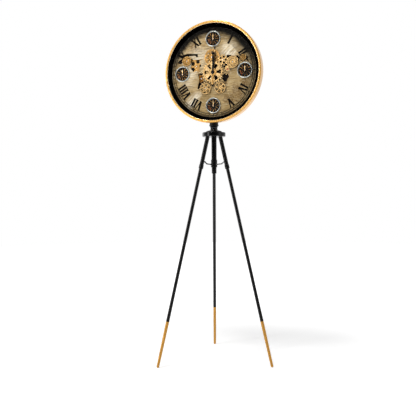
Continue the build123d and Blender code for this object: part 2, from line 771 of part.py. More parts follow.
# Hands
def spade_hand(length, hub_r):
    """Tapered hand with a spade near its tip and a short tail, pointing up."""
    root = hand_root_width / 2
    neck_half = hand_neck_width / 2
    spade_low = length - spade_length
    spade_middle = spade_low + spade_length / 4
    point_low = length - spade_length / 4
    shape = plate([(-root, 0), (-root, -hand_tail), (root, -hand_tail), (root, 0), (neck_half, spade_low),
                   (spade_width / 2, spade_middle), (neck_half / 2, point_low), (0, length),
                   (-neck_half / 2, point_low), (-spade_width / 2, spade_middle),
                   (-neck_half, spade_low)], hand_thickness)
    return shape + disc(hub_r, hand_thickness)


works_low = plate_back + seat_gap
hour_low = hour_hand_front - hand_thickness
minute_low = minute_hand_front - hand_thickness
hour_hand = Pos(0, 0, hour_low) * spade_hand(hour_hand_length, hour_hub_r)
hour_hand += disc(hour_tube_r, hour_hand_front - works_low, works_low)
hour_hand -= disc(minute_shaft_r + running_gap, 2 * overrun, -overrun)
parts["hour_hand"] = head() * Rot(0, 0, -hour_hand_angle) * hour_hand
minute_hand = Pos(0, 0, minute_low) * spade_hand(minute_hand_length, minute_hub_r)
minute_hand += disc(minute_shaft_r, minute_hand_front - works_low, works_low)
minute_hand += disc(hand_cap_r, hand_cap, minute_hand_front)
parts["minute_hand"] = head() * Rot(0, 0, -minute_hand_angle) * minute_hand

# Works behind the movement plate: each box is open at the back where its cells lie
works_back = plate_back - works_depth
bay_width = cell_length + cell_tip + 2 * bay_end_gap
bay_height = 2 * (cell_r + bay_gap)
bay_depth = 2 * (cell_r + bay_gap)
bay = block(bay_width, bay_height, bay_depth, works_back)
cell_level = works_back + bay_depth - bay_gap - cell_r
cell = Rot(0, 90, 0) * (Cylinder(cell_r, cell_length) + disc(cell_tip_r, cell_tip, cell_length / 2))
quartz_box = block(quartz_side, quartz_side, works_depth, works_back)
quartz_box -= Pos(0, -quartz_bay_drop, 0) * bay
quartz_box -= Pos(0, quartz_knob_rise, works_back) * disc(knob_stem_r + running_gap, knob_stem)
parts["quartz_movement"] = head() * quartz_box
motor_box = block(motor_width, motor_height, works_depth, works_back)
for side in (-1, 1):
    motor_box -= Pos(0, side * motor_bay_offset, 0) * bay
motor_box = Pos(*motor_place, 0) * motor_box
motor_box -= Pos(*motor_place, 0) * disc(tube_r + running_gap, motor_shaft_depth + seat_gap,
                                         plate_back - motor_shaft_depth - seat_gap)
parts["motor_box"] = head() * motor_box
cell_places = [(0, -quartz_bay_drop), (motor_place[0], motor_place[1] - motor_bay_offset),
               (motor_place[0], motor_place[1] + motor_bay_offset)]
parts["aa_cells"] = head() * Compound(children=[Pos(*place, cell_level) * cell for place in cell_places])
knob = disc(knob_r, knob_height, works_back - seat_gap - knob_height)
knob += disc(knob_stem_r, knob_stem, works_back - seat_gap)
parts["time_set_knob"] = head() * Pos(0, quartz_knob_rise, 0) * knob

# Back plate, held against the lip by its screws
back_plate_low = lip_back - back_plate_thickness
window_side = quartz_side + 2 * works_window_gap
motor_window = block(motor_width + 2 * works_window_gap, motor_height + 2 * works_window_gap,
                     back_plate_thickness, back_plate_low)
back_plate = disc(shell_inner_r - back_plate_gap, back_plate_thickness, back_plate_low)
back_plate -= block(window_side, window_side, back_plate_thickness, back_plate_low)
back_plate -= Pos(*motor_place, 0) * motor_window
back_plate -= around(back_screw_count, back_screw_circle_r,
                     disc(back_screw_r, back_plate_thickness, back_plate_low))
parts["back_plate"] = head() * back_plate
back_screw = disc(back_screw_r, back_plate_thickness + back_lip_thickness, back_plate_low)
back_screw += disc(back_screw_head_r, back_screw_head, back_plate_low - back_screw_head)
parts["back_screws"] = head() * Compound(children=around(back_screw_count, back_screw_circle_r, back_screw))

# Neck: the drum sits on a saddle, no deeper than the drum, and turns on a bolt that is held in the neck
drum_solid = head() * disc(drum_r, 4 * drum_r, -2 * drum_r)
drum_slab = head() * block(2 * drum_r, 4 * drum_r, drum_front + drum_back, -drum_back)
saddle = (disc(saddle_r, saddle_height + bolt_r, neck_top_z) & drum_slab) - drum_solid
parts["neck_saddle"] = saddle - disc(bolt_r + running_gap, total_height)
bolt_seat_z = head_z - shell_inner_r + seat_gap
bolt_low_z = hub_top_z - bolt_bite
bolt = disc(bolt_r, bolt_seat_z - bolt_low_z, bolt_low_z)
parts["neck_bolt"] = bolt + Pos(0, 0, bolt_seat_z) * extrude(RegularPolygon(bolt_head_r, 6), bolt_head)

belly_z = hub_top_z + neck_height * neck_belly_share
waist_z = hub_top_z + neck_height * neck_waist_share
flare_z = hub_top_z + neck_height * neck_flare_share
foot_z = hub_top_z + neck_foot_height
foot_round_in = neck_foot_round * (1 - cos(pi / 4))
neck_profile = [
    Polyline((neck_top_r, 0, neck_top_z), (0, 0, neck_top_z), (0, 0, hub_top_z), (neck_foot_r, 0, hub_top_z),
             (neck_foot_r, 0, foot_z - neck_foot_round)),
    ThreePointArc((neck_foot_r, 0, foot_z - neck_foot_round),
                  (neck_foot_r - foot_round_in, 0, foot_z - foot_round_in),
                  (neck_foot_r - neck_foot_round, 0, foot_z)),
    Line((neck_foot_r - neck_foot_round, 0, foot_z), (neck_flare_r, 0, flare_z)),
    TangentArc((neck_flare_r, 0, flare_z), (neck_waist_r, 0, waist_z),
               tangent=(neck_flare_r - neck_foot_r, 0, flare_z - foot_z)),
    Spline((neck_waist_r, 0, waist_z), (neck_belly_r, 0, belly_z), (neck_top_r, 0, neck_top_z),
           tangents=((0, 0, 1), (neck_top_r - neck_belly_r, 0, neck_top_z - belly_z))),
]
parts["neck"] = lathe_edges(neck_profile) - disc(bolt_r, total_height)

# Hub: each leg's tongue swings in a slot, on a pin laid in from above under the neck's foot
hub = disc(hub_r, hub_thickness, hub_bottom_z)
hub = fillet(hub.edges().filter_by(GeomType.CIRCLE), hub_round)
slot_length = 2 * (tongue_r + tongue_gap) + slot_swing
slot_height = pivot_rise + tongue_r + tongue_gap
slot_width = tongue_thickness + 2 * tongue_gap
slot = Pos(slot_swing / 2, 0, 0) * block(slot_length, slot_width, slot_height, -pivot_rise)
pin_groove = block(2 * pin_r, pin_length, hub_thickness - pivot_rise) + cross_pin(pin_r, pin_length)
hinge_pin = cross_pin(pin_r, pin_length)
hinge_pins = []
for azimuth in leg_azimuths:
    hinge = radial(azimuth) * Pos(pivot_r, 0, pivot_z)
    hub -= hinge * slot
    hub -= hinge * pin_groove
    hinge_pins.append(hinge * hinge_pin)
parts["tripod_hub"] = hub - disc(bolt_r, total_height)
parts["hinge_pins"] = Compound(children=hinge_pins)

# Column under the hub, closed by a slimmer tip
column_inner_r = column_r - column_wall
column = ring(column_r, column_inner_r, column_length, column_bottom_z)
column += disc(column_tip_r, column_tip_length, column_bottom_z - column_tip_length)
column += disc(column_inner_r, column_tip_length / 2, column_bottom_z)
parts["centre_column"] = column

# Sleeve on the column's lower end, with an ear for each brace. The four layers of ears and links
# lie side by side, so that nothing meets as the brace folds.
layer_step = ear_thickness + brace_gap
sleeve_ear_low = -brace_thickness / 2 - brace_gap - ear_thickness
inner_link_low = sleeve_ear_low + layer_step
outer_link_low = inner_link_low + brace_thickness + brace_gap
leg_ear_low = outer_link_low + brace_thickness + brace_gap


def flat_link(length, half_width, thickness, low):
    """Flat bar with round ends, along X from the origin, with its thickness along Y from low."""
    bar = Pos(length / 2, low + thickness / 2, 0) * Box(length, thickness, 2 * half_width)
    ends = [Pos(x, 0, 0) * cross_pin(half_width, thickness, low + thickness / 2) for x in (0, length)]
    return bar + ends


ear_hole = cross_pin(brace_pin_r + running_gap, overrun)
sleeve_ear_length = brace_sleeve_r - column_r - running_gap
sleeve = ring(sleeve_r, column_r + running_gap, sleeve_height, column_bottom_z)
for azimuth in leg_azimuths:
    ear = Rot(0, 180, 0) * flat_link(sleeve_ear_length, ear_r, ear_thickness, sleeve_ear_low)
    ear_place = radial(azimuth) * Pos(brace_sleeve_r, 0, brace_sleeve_z)
    sleeve += ear_place * ear - disc(column_r + running_gap, total_height)
    sleeve -= ear_place * ear_hole
parts["brace_sleeve"] = sleeve

# Brace places in the plane of a leg, as distance from the axis and height
tilt = radians(leg_angle)


def leg_ear_spot(fold):
    """Leg end of the brace when the leg has folded in by an angle."""
    lean = tilt - radians(fold)
    return (pivot_r + brace_leg_along * sin(lean) - brace_leg_out * cos(lean),
            pivot_z - brace_leg_along * cos(lean) - brace_leg_out * sin(lean))


def ear_span(fold):
    """Way from the sleeve's ear to the leg's, as its parts outward and up and its length."""
    ear_x, ear_z = leg_ear_spot(fold)
    span_x = ear_x - brace_sleeve_r
    span_z = ear_z - brace_sleeve_z
    return span_x, span_z, hypot(span_x, span_z)


# The two links reach a little past the straight line at rest, and still close when folded
brace_sum = ear_span(0)[2] + brace_slack
brace_step = ear_span(fold_limit)[2] * brace_step_share
brace_inner_length = (brace_sum + brace_step) / 2
brace_outer_length = (brace_sum - brace_step) / 2


def elbow_spot(fold, side):
    """Rivet between the two links, below (-1) or above (1) the line between their other ends."""
    span_x, span_z, span = ear_span(fold)
    reach = (brace_inner_length ** 2 + span ** 2 - brace_outer_length ** 2) / (2 * span)
    bend = acos(reach / brace_inner_length)
    angle = atan2(span_z, span_x) + side * bend
    return brace_sleeve_r + brace_inner_length * cos(angle), brace_sleeve_z + brace_inner_length * sin(angle)


def link_angle(start, end):
    return degrees(atan2(end[1] - start[1], end[0] - start[0]))


rest_ear = leg_ear_spot(0)
rest_elbow = elbow_spot(0, -1)
inner_angle = link_angle((brace_sleeve_r, brace_sleeve_z), rest_elbow)
outer_angle = link_angle(rest_ear, rest_elbow)
folded_ear = leg_ear_spot(fold_limit)
folded_elbow = elbow_spot(fold_limit, 1)
inner_swing = inner_angle - link_angle((brace_sleeve_r, brace_sleeve_z), folded_elbow)
outer_swing = (outer_angle - link_angle(folded_ear, folded_elbow)) % 360 - fold_limit

inner_link = flat_link(brace_inner_length, brace_half_width, brace_thickness, inner_link_low)
inner_link += cross_pin(brace_pin_r, layer_step + brace_thickness / 2, inner_link_low - layer_step / 2)
inner_link += cross_pin(ear_r - brace_gap, brace_head, sleeve_ear_low - brace_gap - brace_head / 2)
inner_link += cross_pin(brace_pin_r, brace_gap + brace_head, sleeve_ear_low - (brace_gap + brace_head) / 2)
inner_link += Pos(brace_inner_length, 0, 0) * cross_pin(
    brace_half_width, brace_head, inner_link_low - brace_head / 2)
outer_link = flat_link(brace_outer_length, brace_half_width, brace_thickness, outer_link_low)
outer_link += cross_pin(brace_pin_r, 2 * layer_step, leg_ear_low + ear_thickness / 2)
outer_link += cross_pin(ear_r - brace_gap, brace_head, leg_ear_low + layer_step + brace_head / 2)
outer_link += Pos(brace_outer_length, 0, 0) * cross_pin(
    brace_half_width, brace_head, outer_link_low + brace_thickness + brace_head / 2)

# Legs
upper_inner_r = lower_tube_r + running_gap
foot_start = leg_length - foot_length
upper = ring(upper_tube_r, upper_inner_r, collar_end - upper_tube_start, -collar_end)
upper += disc(upper_tube_r, upper_plug, -upper_tube_start - upper_plug)
collar = ring(collar_r, upper_inner_r, collar_length, -collar_end)
collar_edges = collar.edges().filter_by(GeomType.CIRCLE).filter_by(lambda edge: edge.radius > upper_tube_r)
upper += chamfer(collar_edges, collar_chamfer)
tongue = cross_pin(tongue_r, tongue_thickness) + block(
    2 * tongue_r, tongue_thickness, upper_tube_start + upper_plug / 2, -upper_tube_start - upper_plug / 2)
upper += tongue
upper -= cross_pin(pin_r + running_gap, overrun)
leg_ear = flat_link(brace_leg_out - upper_inner_r, ear_r, ear_thickness, leg_ear_low)
leg_ear_place = Pos(-brace_leg_out, 0, -brace_leg_along)
upper += leg_ear_place * leg_ear - disc(upper_inner_r, collar_end, -collar_end)
upper -= leg_ear_place * Pos(0, leg_ear_low + ear_thickness / 2, 0) * cross_pin(
    brace_pin_r + running_gap, ear_thickness)

lower_inner_r = lower_tube_r - lower_tube_wall
lower = ring(lower_tube_r, lower_inner_r, foot_start - collar_end + lower_tube_lap, -foot_start)

foot_groove_z = foot_length - foot_groove
groove_edge = foot_top_r - foot_groove_depth
foot_outline = [
    Polyline((foot_tip_r, 0, 0), (foot_top_r, 0, foot_groove_z - foot_groove_width),
             (groove_edge, 0, foot_groove_z - foot_groove_width), (groove_edge, 0, foot_groove_z),
             (foot_top_r, 0, foot_groove_z), (foot_top_r, 0, foot_length),
             (lower_inner_r, 0, foot_length), (lower_inner_r, 0, foot_length + foot_spigot),
             (foot_bore_r, 0, foot_length + foot_spigot), (foot_bore_r, 0, foot_bore_end),
             (0, 0, foot_bore_end), (0, 0, -foot_tip_r)),
    ThreePointArc((0, 0, -foot_tip_r), (foot_tip_r * cos(pi / 4), 0, -foot_tip_r * sin(pi / 4)),
                  (foot_tip_r, 0, 0)),
]
foot = Pos(0, 0, -leg_length) * lathe_edges(foot_outline)
below_floor = block(2 * total_height, 2 * total_height, total_height, -total_height)

for number, azimuth in enumerate(leg_azimuths, start=1):
    place = leg_place(azimuth)
    parts[f"leg_upper_{number}"] = place * upper
    parts[f"leg_lower_{number}"] = place * lower
    parts[f"leg_foot_{number}"] = place * foot - below_floor
    ear_spot = radial(azimuth) * Pos(rest_ear[0], 0, rest_ear[1])
    sleeve_spot = radial(azimuth) * Pos(brace_sleeve_r, 0, brace_sleeve_z)
    parts[f"brace_outer_{number}"] = ear_spot * Rot(0, -outer_angle, 0) * outer_link
    parts[f"brace_inner_{number}"] = sleeve_spot * Rot(0, -inner_angle, 0) * inner_link

# Places that the joints need
joint_places = {"upper_wheel": upper_place, "skeleton_wheel": skeleton_place, "right_barrel": barrel_place,
                "small_pinion": small_place, "left_wheel": left_place, "left_barrel": left_barrel_place,
                "lower_barrel": lower_place, **medallion_places}
for name, place in joint_places.items():
    print(name, "at", place)
print("leg pivots", pivot_r, pivot_z, "brace ear", rest_ear, "sleeve pivot", brace_sleeve_r, brace_sleeve_z)
print("swing of the inner links", inner_swing, "and of the outer links", outer_swing)

os.makedirs("parts", exist_ok=True)
for node, shape in parts.items():
    export_step(shape, f"parts/{node}.step")
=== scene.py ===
import logging
from dataclasses import dataclass
from enum import Enum
from math import cos, pi, radians, sin
from typing import Callable, Sequence

import bpy
from mathutils import Matrix, Vector


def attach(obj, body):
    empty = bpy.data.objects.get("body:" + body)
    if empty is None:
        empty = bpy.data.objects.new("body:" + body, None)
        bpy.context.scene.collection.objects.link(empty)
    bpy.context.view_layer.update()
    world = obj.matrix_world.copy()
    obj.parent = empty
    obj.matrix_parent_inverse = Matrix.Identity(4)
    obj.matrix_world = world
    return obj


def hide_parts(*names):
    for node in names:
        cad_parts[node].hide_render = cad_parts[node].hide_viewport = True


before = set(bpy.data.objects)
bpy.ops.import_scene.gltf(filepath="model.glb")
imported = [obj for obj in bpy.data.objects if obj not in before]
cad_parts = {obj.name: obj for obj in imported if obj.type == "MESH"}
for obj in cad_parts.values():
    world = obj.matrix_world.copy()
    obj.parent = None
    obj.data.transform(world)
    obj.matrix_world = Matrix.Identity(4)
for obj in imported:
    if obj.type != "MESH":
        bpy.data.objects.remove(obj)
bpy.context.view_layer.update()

log = logging.getLogger("tripod_clock")

Piece = bpy.types.Object
Socket = bpy.types.NodeSocket
Colour = tuple[float, float, float]
Station = tuple[float, float]

HEAD_HEIGHT = 1.395
MILLIMETRE = 0.001


class Facing(Enum):
    """Way that a piece modelled flat on the bench points once it is in place."""

    UP = Matrix.Identity(4)
    FRONT = Matrix.Rotation(radians(90), 4, "X")
    BACK = Matrix.Rotation(radians(-90), 4, "X")


def tone(code: str) -> Colour:
    """Linear colour of a paint chip written as six hexadecimal digits.

    Args:
        code: The chip, such as "C9A866".

    Returns:
        Its red, green and blue as light, for a shader.
    """
    parts = [int(code[i:i + 2], 16) / 255 for i in (0, 2, 4)]
    return tuple(c / 12.92 if c <= 0.04045 else ((c + 0.055) / 1.055) ** 2.4 for c in parts)


# Bench: modelling as by hand


class Bench:
    """Tools that shape one piece at a time."""

    @staticmethod
    def clear() -> None:
        """Puts down all that is selected."""
        if bpy.context.object and bpy.context.object.mode != "OBJECT":
            bpy.ops.object.mode_set(mode="OBJECT")
        bpy.ops.object.select_all(action="DESELECT")

    @staticmethod
    def take(piece: Piece) -> Piece:
        """Picks up one piece alone and returns it."""
        Bench.clear()
        piece.select_set(True)
        bpy.context.view_layer.objects.active = piece
        return piece

    @staticmethod
    def edit(piece: Piece, mode: str = "VERT") -> None:
        """Opens a piece for shaping, with all of it selected.

        Args:
            piece: The piece.
            mode: What is selected, as VERT, EDGE or FACE.
        """
        Bench.take(piece)
        bpy.ops.object.mode_set(mode="EDIT")
        bpy.ops.mesh.select_mode(type=mode)
        bpy.ops.mesh.select_all(action="SELECT")

    @staticmethod
    def close() -> Piece:
        """Ends the shaping and returns the piece."""
        bpy.ops.object.mode_set(mode="OBJECT")
        return bpy.context.object

    @staticmethod
    def pick_faces(piece: Piece, wanted: Callable[[Vector, Vector], bool]) -> None:
        """Opens a piece with only some faces selected.

        Args:
            piece: The piece.
            wanted: Says yes to a face from its middle and its normal.
        """
        Bench.edit(piece, "FACE")
        bpy.ops.mesh.select_all(action="DESELECT")
        bpy.ops.object.mode_set(mode="OBJECT")
        for face in piece.data.polygons:
            face.select = wanted(face.center, face.normal)
        bpy.ops.object.mode_set(mode="EDIT")

    @staticmethod
    def turned(name: str, stations: Sequence[Station], segments: int = 96, loop: bool = False) -> Piece:
        """Turns a piece on the lathe, about the Z axis.

        Args:
            name: Name of the piece.
            stations: Radius and height of each step, in metres. A radius of zero closes the piece.
            segments: Sides of the circle.
            loop: True where the last step joins the first, as on a ring.

        Returns:
            The turned piece, with its normals outward.
        """
        Bench.clear()
        ringed = [s for s in stations if s[0] > 0]
        radius, height = ringed[0]
        bpy.ops.mesh.primitive_circle_add(vertices=segments, radius=radius, location=(0, 0, height))
        piece = bpy.context.object
        piece.name = piece.data.name = name
        Bench.edit(piece)
        bpy.ops.object.mode_set(mode="OBJECT")
        bpy.ops.object.transform_apply(location=True, rotation=True, scale=True)
        bpy.ops.object.mode_set(mode="EDIT")
        if stations[0][0] == 0:
            Bench.cap(stations[0][1] - height)
            bpy.ops.object.mode_set(mode="OBJECT")
            for vertex in piece.data.vertices:
                vertex.select = abs(vertex.co.xy.length - radius) < 1e-7
            bpy.ops.object.mode_set(mode="EDIT")
        steps = ringed + ringed[:1] if loop else ringed
        for (r0, h0), (r1, h1) in zip(steps, steps[1:]):
            bpy.ops.mesh.extrude_region_move(TRANSFORM_OT_translate={"value": (0, 0, h1 - h0)})
            bpy.ops.transform.resize(value=(r1 / r0, r1 / r0, 1), center_override=(0, 0, h1))
        if stations[-1][0] == 0:
            Bench.cap(stations[-1][1] - ringed[-1][1])
        bpy.ops.mesh.select_all(action="SELECT")
        bpy.ops.mesh.remove_doubles(threshold=2e-6)
        bpy.ops.mesh.normals_make_consistent(inside=False)
        return Bench.close()

    @staticmethod
    def cap(rise: float) -> None:
        """Closes the selected circle to a point that stands proud of it by a rise."""
        bpy.ops.mesh.extrude_region_move(TRANSFORM_OT_translate={"value": (0, 0, rise)})
        bpy.ops.mesh.merge(type="CENTER")

    @staticmethod
    def bar(name: str, width: float, length: float, depth: float, taper: float = 1.0) -> Piece:
        """Makes a bar on the XY plane, with its length along Y and its inner end narrower.

        Args:
            name: Name of the piece.
            width: Size along X.
            length: Size along Y.
            depth: Height above the bench.
            taper: Width of the lower end, as a share of the upper.

        Returns:
            The bar, with eased edges.
        """
        Bench.clear()
        bpy.ops.mesh.primitive_cube_add(size=1, location=(0, 0, depth / 2), scale=(width, length, depth))
        piece = bpy.context.object
        piece.name = piece.data.name = name
        bpy.ops.object.transform_apply(location=True, rotation=True, scale=True)
        Bench.pick_faces(piece, lambda middle, normal: normal.y < -0.9)
        bpy.ops.transform.resize(value=(taper, 1, 1), center_override=(0, -length / 2, depth / 2))
        Bench.close()
        return Bench.eased(piece, min(width, depth) * 0.2, 1)

    @staticmethod
    def eased(piece: Piece, width: float, segments: int = 2, corner: float = 35.0) -> Piece:
        """Breaks the sharp edges of a piece, smooths what lies between them and keeps its large faces flat.

        Args:
            piece: The piece.
            width: Width of the broken edge, in metres.
            segments: Steps across it.
            corner: Smallest angle that counts as an edge, in degrees.

        Returns:
            The piece.
        """
        Bench.take(piece)
        rounding = piece.modifiers.new("eased", "BEVEL")
        rounding.width = width
        rounding.segments = segments
        rounding.limit_method = "ANGLE"
        rounding.angle_limit = radians(corner)
        rounding.use_clamp_overlap = False
        bpy.ops.object.modifier_apply(modifier=rounding.name)
        bpy.ops.object.shade_smooth_by_angle(angle=radians(corner))
        flat = piece.modifiers.new("flat", "WEIGHTED_NORMAL")
        flat.weight = 100
        flat.keep_sharp = True
        bpy.ops.object.modifier_apply(modifier=flat.name)
        return piece

    @staticmethod
    def softened(node: str, name: str, width: float, segments: int = 2, corner: float = 35.0) -> Piece:
        """Copies a CAD node, merges its loose faces and breaks its edges.

        Args:
            node: Name of the CAD node.
            name: Name of the new piece.
            width: Width of the broken edges, in metres.
            segments: Steps across a broken edge.
            corner: Smallest angle that counts as an edge, in degrees.

        Returns:
            The new piece, which stands where the node does.
        """
        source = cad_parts[node]
        piece = bpy.data.objects.new(name, source.data.copy())
        piece.data.name = name
        piece.data.materials.clear()
        bpy.context.scene.collection.objects.link(piece)
        Bench.edit(piece)
        bpy.ops.mesh.remove_doubles(threshold=1.5e-5)
        bpy.ops.mesh.customdata_custom_splitnormals_clear()
        bpy.ops.mesh.dissolve_limited(angle_limit=radians(1.5))
        Bench.close()
        return Bench.eased(piece, width, segments, corner)

    @staticmethod
    def placed(piece: Piece, spot: Sequence[float], facing: Facing = Facing.UP, turn: float = 0.0) -> Piece:
        """Puts a piece where it belongs and writes that place into its mesh.

        Args:
            piece: The piece, modelled on the bench.
            spot: Where its middle goes, in metres.
            facing: Way that its top faces.
            turn: Turn about its own upright axis first, in degrees.

        Returns:
            The piece, with its object at the origin.
        """
        Bench.take(piece)
        piece.matrix_world = Matrix.Translation(spot) @ facing.value @ Matrix.Rotation(radians(turn), 4, "Z")
        bpy.ops.object.transform_apply(location=True, rotation=True, scale=True)
        return piece

    @staticmethod
    def twin(piece: Piece) -> Piece:
        """Copies a piece with a mesh of its own."""
        copy = piece.copy()
        copy.data = piece.data.copy()
        bpy.context.scene.collection.objects.link(copy)
        return copy

    @staticmethod
    def joined(pieces: Sequence[Piece], name: str) -> Piece:
        """Joins pieces into one.

        Args:
            pieces: What is joined.
            name: Name of the result.

        Returns:
            The joined piece.
        """
        Bench.take(pieces[0])
        for piece in pieces:
            piece.select_set(True)
        if len(pieces) > 1:
            bpy.ops.object.join()
        whole = bpy.context.view_layer.objects.active
        whole.name = whole.data.name = name
        return whole

    @staticmethod
    def wheeled(piece: Piece, count: int, name: str, start: float = 0.0, sweep: float = 360.0) -> Piece:
        """Repeats a piece round the Z axis and joins the copies.

        Args:
            piece: The piece to repeat.
            count: How many there are.
            name: Name of the result.
            start: Turn of the first, in degrees.
            sweep: Angle that they share out, in degrees.

        Returns:
            The joined ring.
        """
        ring = []
        for number in range(count):
            copy = Bench.twin(piece)
            ring.append(Bench.placed(copy, (0, 0, 0), turn=start + sweep * number / count))
        bpy.data.objects.remove(piece)
        return Bench.joined(ring, name)


# Shader tools


class Wiring:
    """Puts nodes in one shader tree and joins them."""

    def __init__(self, tree: bpy.types.NodeTree) -> None:
        """Keeps the tree that the nodes go in."""
        self.tree = tree

    def add(self, kind: str, inputs: dict | None = None, **settings: object) -> bpy.types.Node:
        """Adds one node.

        Args:
            kind: Blender's name of the node.
            inputs: Value or socket for each input, by name or number.
            settings: The node's own settings.

        Returns:
            The node.
        """
        node = self.tree.nodes.new(kind)
        for key, value in settings.items():
            setattr(node, key, value)
        for key, value in (inputs or {}).items():
            if isinstance(value, bpy.types.NodeSocket):
                self.tree.links.new(value, node.inputs[key])
            elif isinstance(value, tuple) and node.inputs[key].type == "RGBA":
                node.inputs[key].default_value = (*value, 1.0)
            else:
                node.inputs[key].default_value = value
        return node

    def sum(self, way: str, first: object, second: object = 0.0) -> Socket:
        """Result of one sum, such as MULTIPLY or MAXIMUM, of two values."""
        return self.add("ShaderNodeMath", {0: first, 1: second}, operation=way).outputs[0]

    def fade(self, value: object, low: float, high: float) -> Socket:
        """Smooth rise from 0 where a value is low to 1 where it is high."""
        inputs = {"Value": value, "From Min": low, "From Max": high}
        return self.add("ShaderNodeMapRange", inputs, interpolation_type="SMOOTHSTEP").outputs[0]

    def between(self, value: object, low: float, high: float) -> Socket:
        """Turns a value from 0 to 1 into one from low to high."""
        return self.add("ShaderNodeMapRange", {"Value": value, "To Min": low, "To Max": high}).outputs[0]

    def blend(self, share: object, first: object, second: object, way: str = "MIX") -> Socket:
        """Colour between two others.

        Args:
            share: How much of the second there is, from 0 to 1.
            first: The first colour.
            second: The second colour.
            way: How they mix, such as MIX or MULTIPLY.

        Returns:
            The colour's socket.
        """
        inputs = {0: share, 6: first, 7: second}
        return self.add("ShaderNodeMix", inputs, data_type="RGBA", blend_type=way).outputs[2]

    def spot(self, centre: Sequence[float] = (0, 0, 0), stretch: Sequence[float] = (1, 1, 1)) -> Socket:
        """Place on the object, measured from a centre.

        Args:
            centre: Where the pattern is centred, in metres.
            stretch: How many times finer the pattern is along each axis.

        Returns:
            The place, as a vector socket.
        """
        place = self.add("ShaderNodeTexCoord").outputs["Object"]
        shift = tuple(-c * s for c, s in zip(centre, stretch))
        inputs = {"Vector": place, "Location": shift, "Scale": stretch}
        return self.add("ShaderNodeMapping", inputs).outputs[0]

    def noise(self, place: Socket, scale: object, detail: float = 2.0, roughness: float = 0.5) -> Socket:
        """Cloudy value from 0 to 1 at a place."""
        inputs = {"Vector": place, "Scale": scale, "Detail": detail, "Roughness": roughness}
        return self.add("ShaderNodeTexNoise", inputs).outputs[0]

    def radius(self, place: Socket) -> Socket:
        """Distance of a place from the axis that runs front to back."""
        flat = self.add("ShaderNodeVectorMath", {0: place, 1: (1, 0, 1)}, operation="MULTIPLY").outputs[0]
        return self.add("ShaderNodeVectorMath", {0: flat}, operation="LENGTH").outputs["Value"]


class Effect:
    """Surface effect that several finishes share, as a shader node group."""

    def __init__(self, name: str, inputs: dict[str, tuple[str, object]], outputs: dict[str, str]) -> None:
        """Makes the group's sockets.

        Args:
            name: Name of the group.
            inputs: Kind and first value of each input.
            outputs: Kind of each output.
        """
        self.tree = bpy.data.node_groups.new(name, "ShaderNodeTree")
        for label, (kind, value) in inputs.items():
            self.tree.interface.new_socket(label, in_out="INPUT", socket_type=kind).default_value = value
        for label, kind in outputs.items():
            self.tree.interface.new_socket(label, in_out="OUTPUT", socket_type=kind)
        self.wiring = Wiring(self.tree)
        self.given = self.wiring.add("NodeGroupInput").outputs
        self.result = self.wiring.add("NodeGroupOutput")

    def give(self, label: str, value: Socket) -> None:
        """Sends a value out of the group."""
        self.tree.links.new(value, self.result.inputs[label])

    def use(self, wiring: Wiring, **values: object) -> bpy.types.bpy_prop_collection:
        """Places the group in a material.

        Args:
            wiring: The material's tree.
            values: Values or sockets for the group's inputs, by name.

        Returns:
            The group's outputs.
        """
        return wiring.add("ShaderNodeGroup", values, node_tree=self.tree).outputs


FLOAT = "NodeSocketFloat"
VECTOR = "NodeSocketVector"


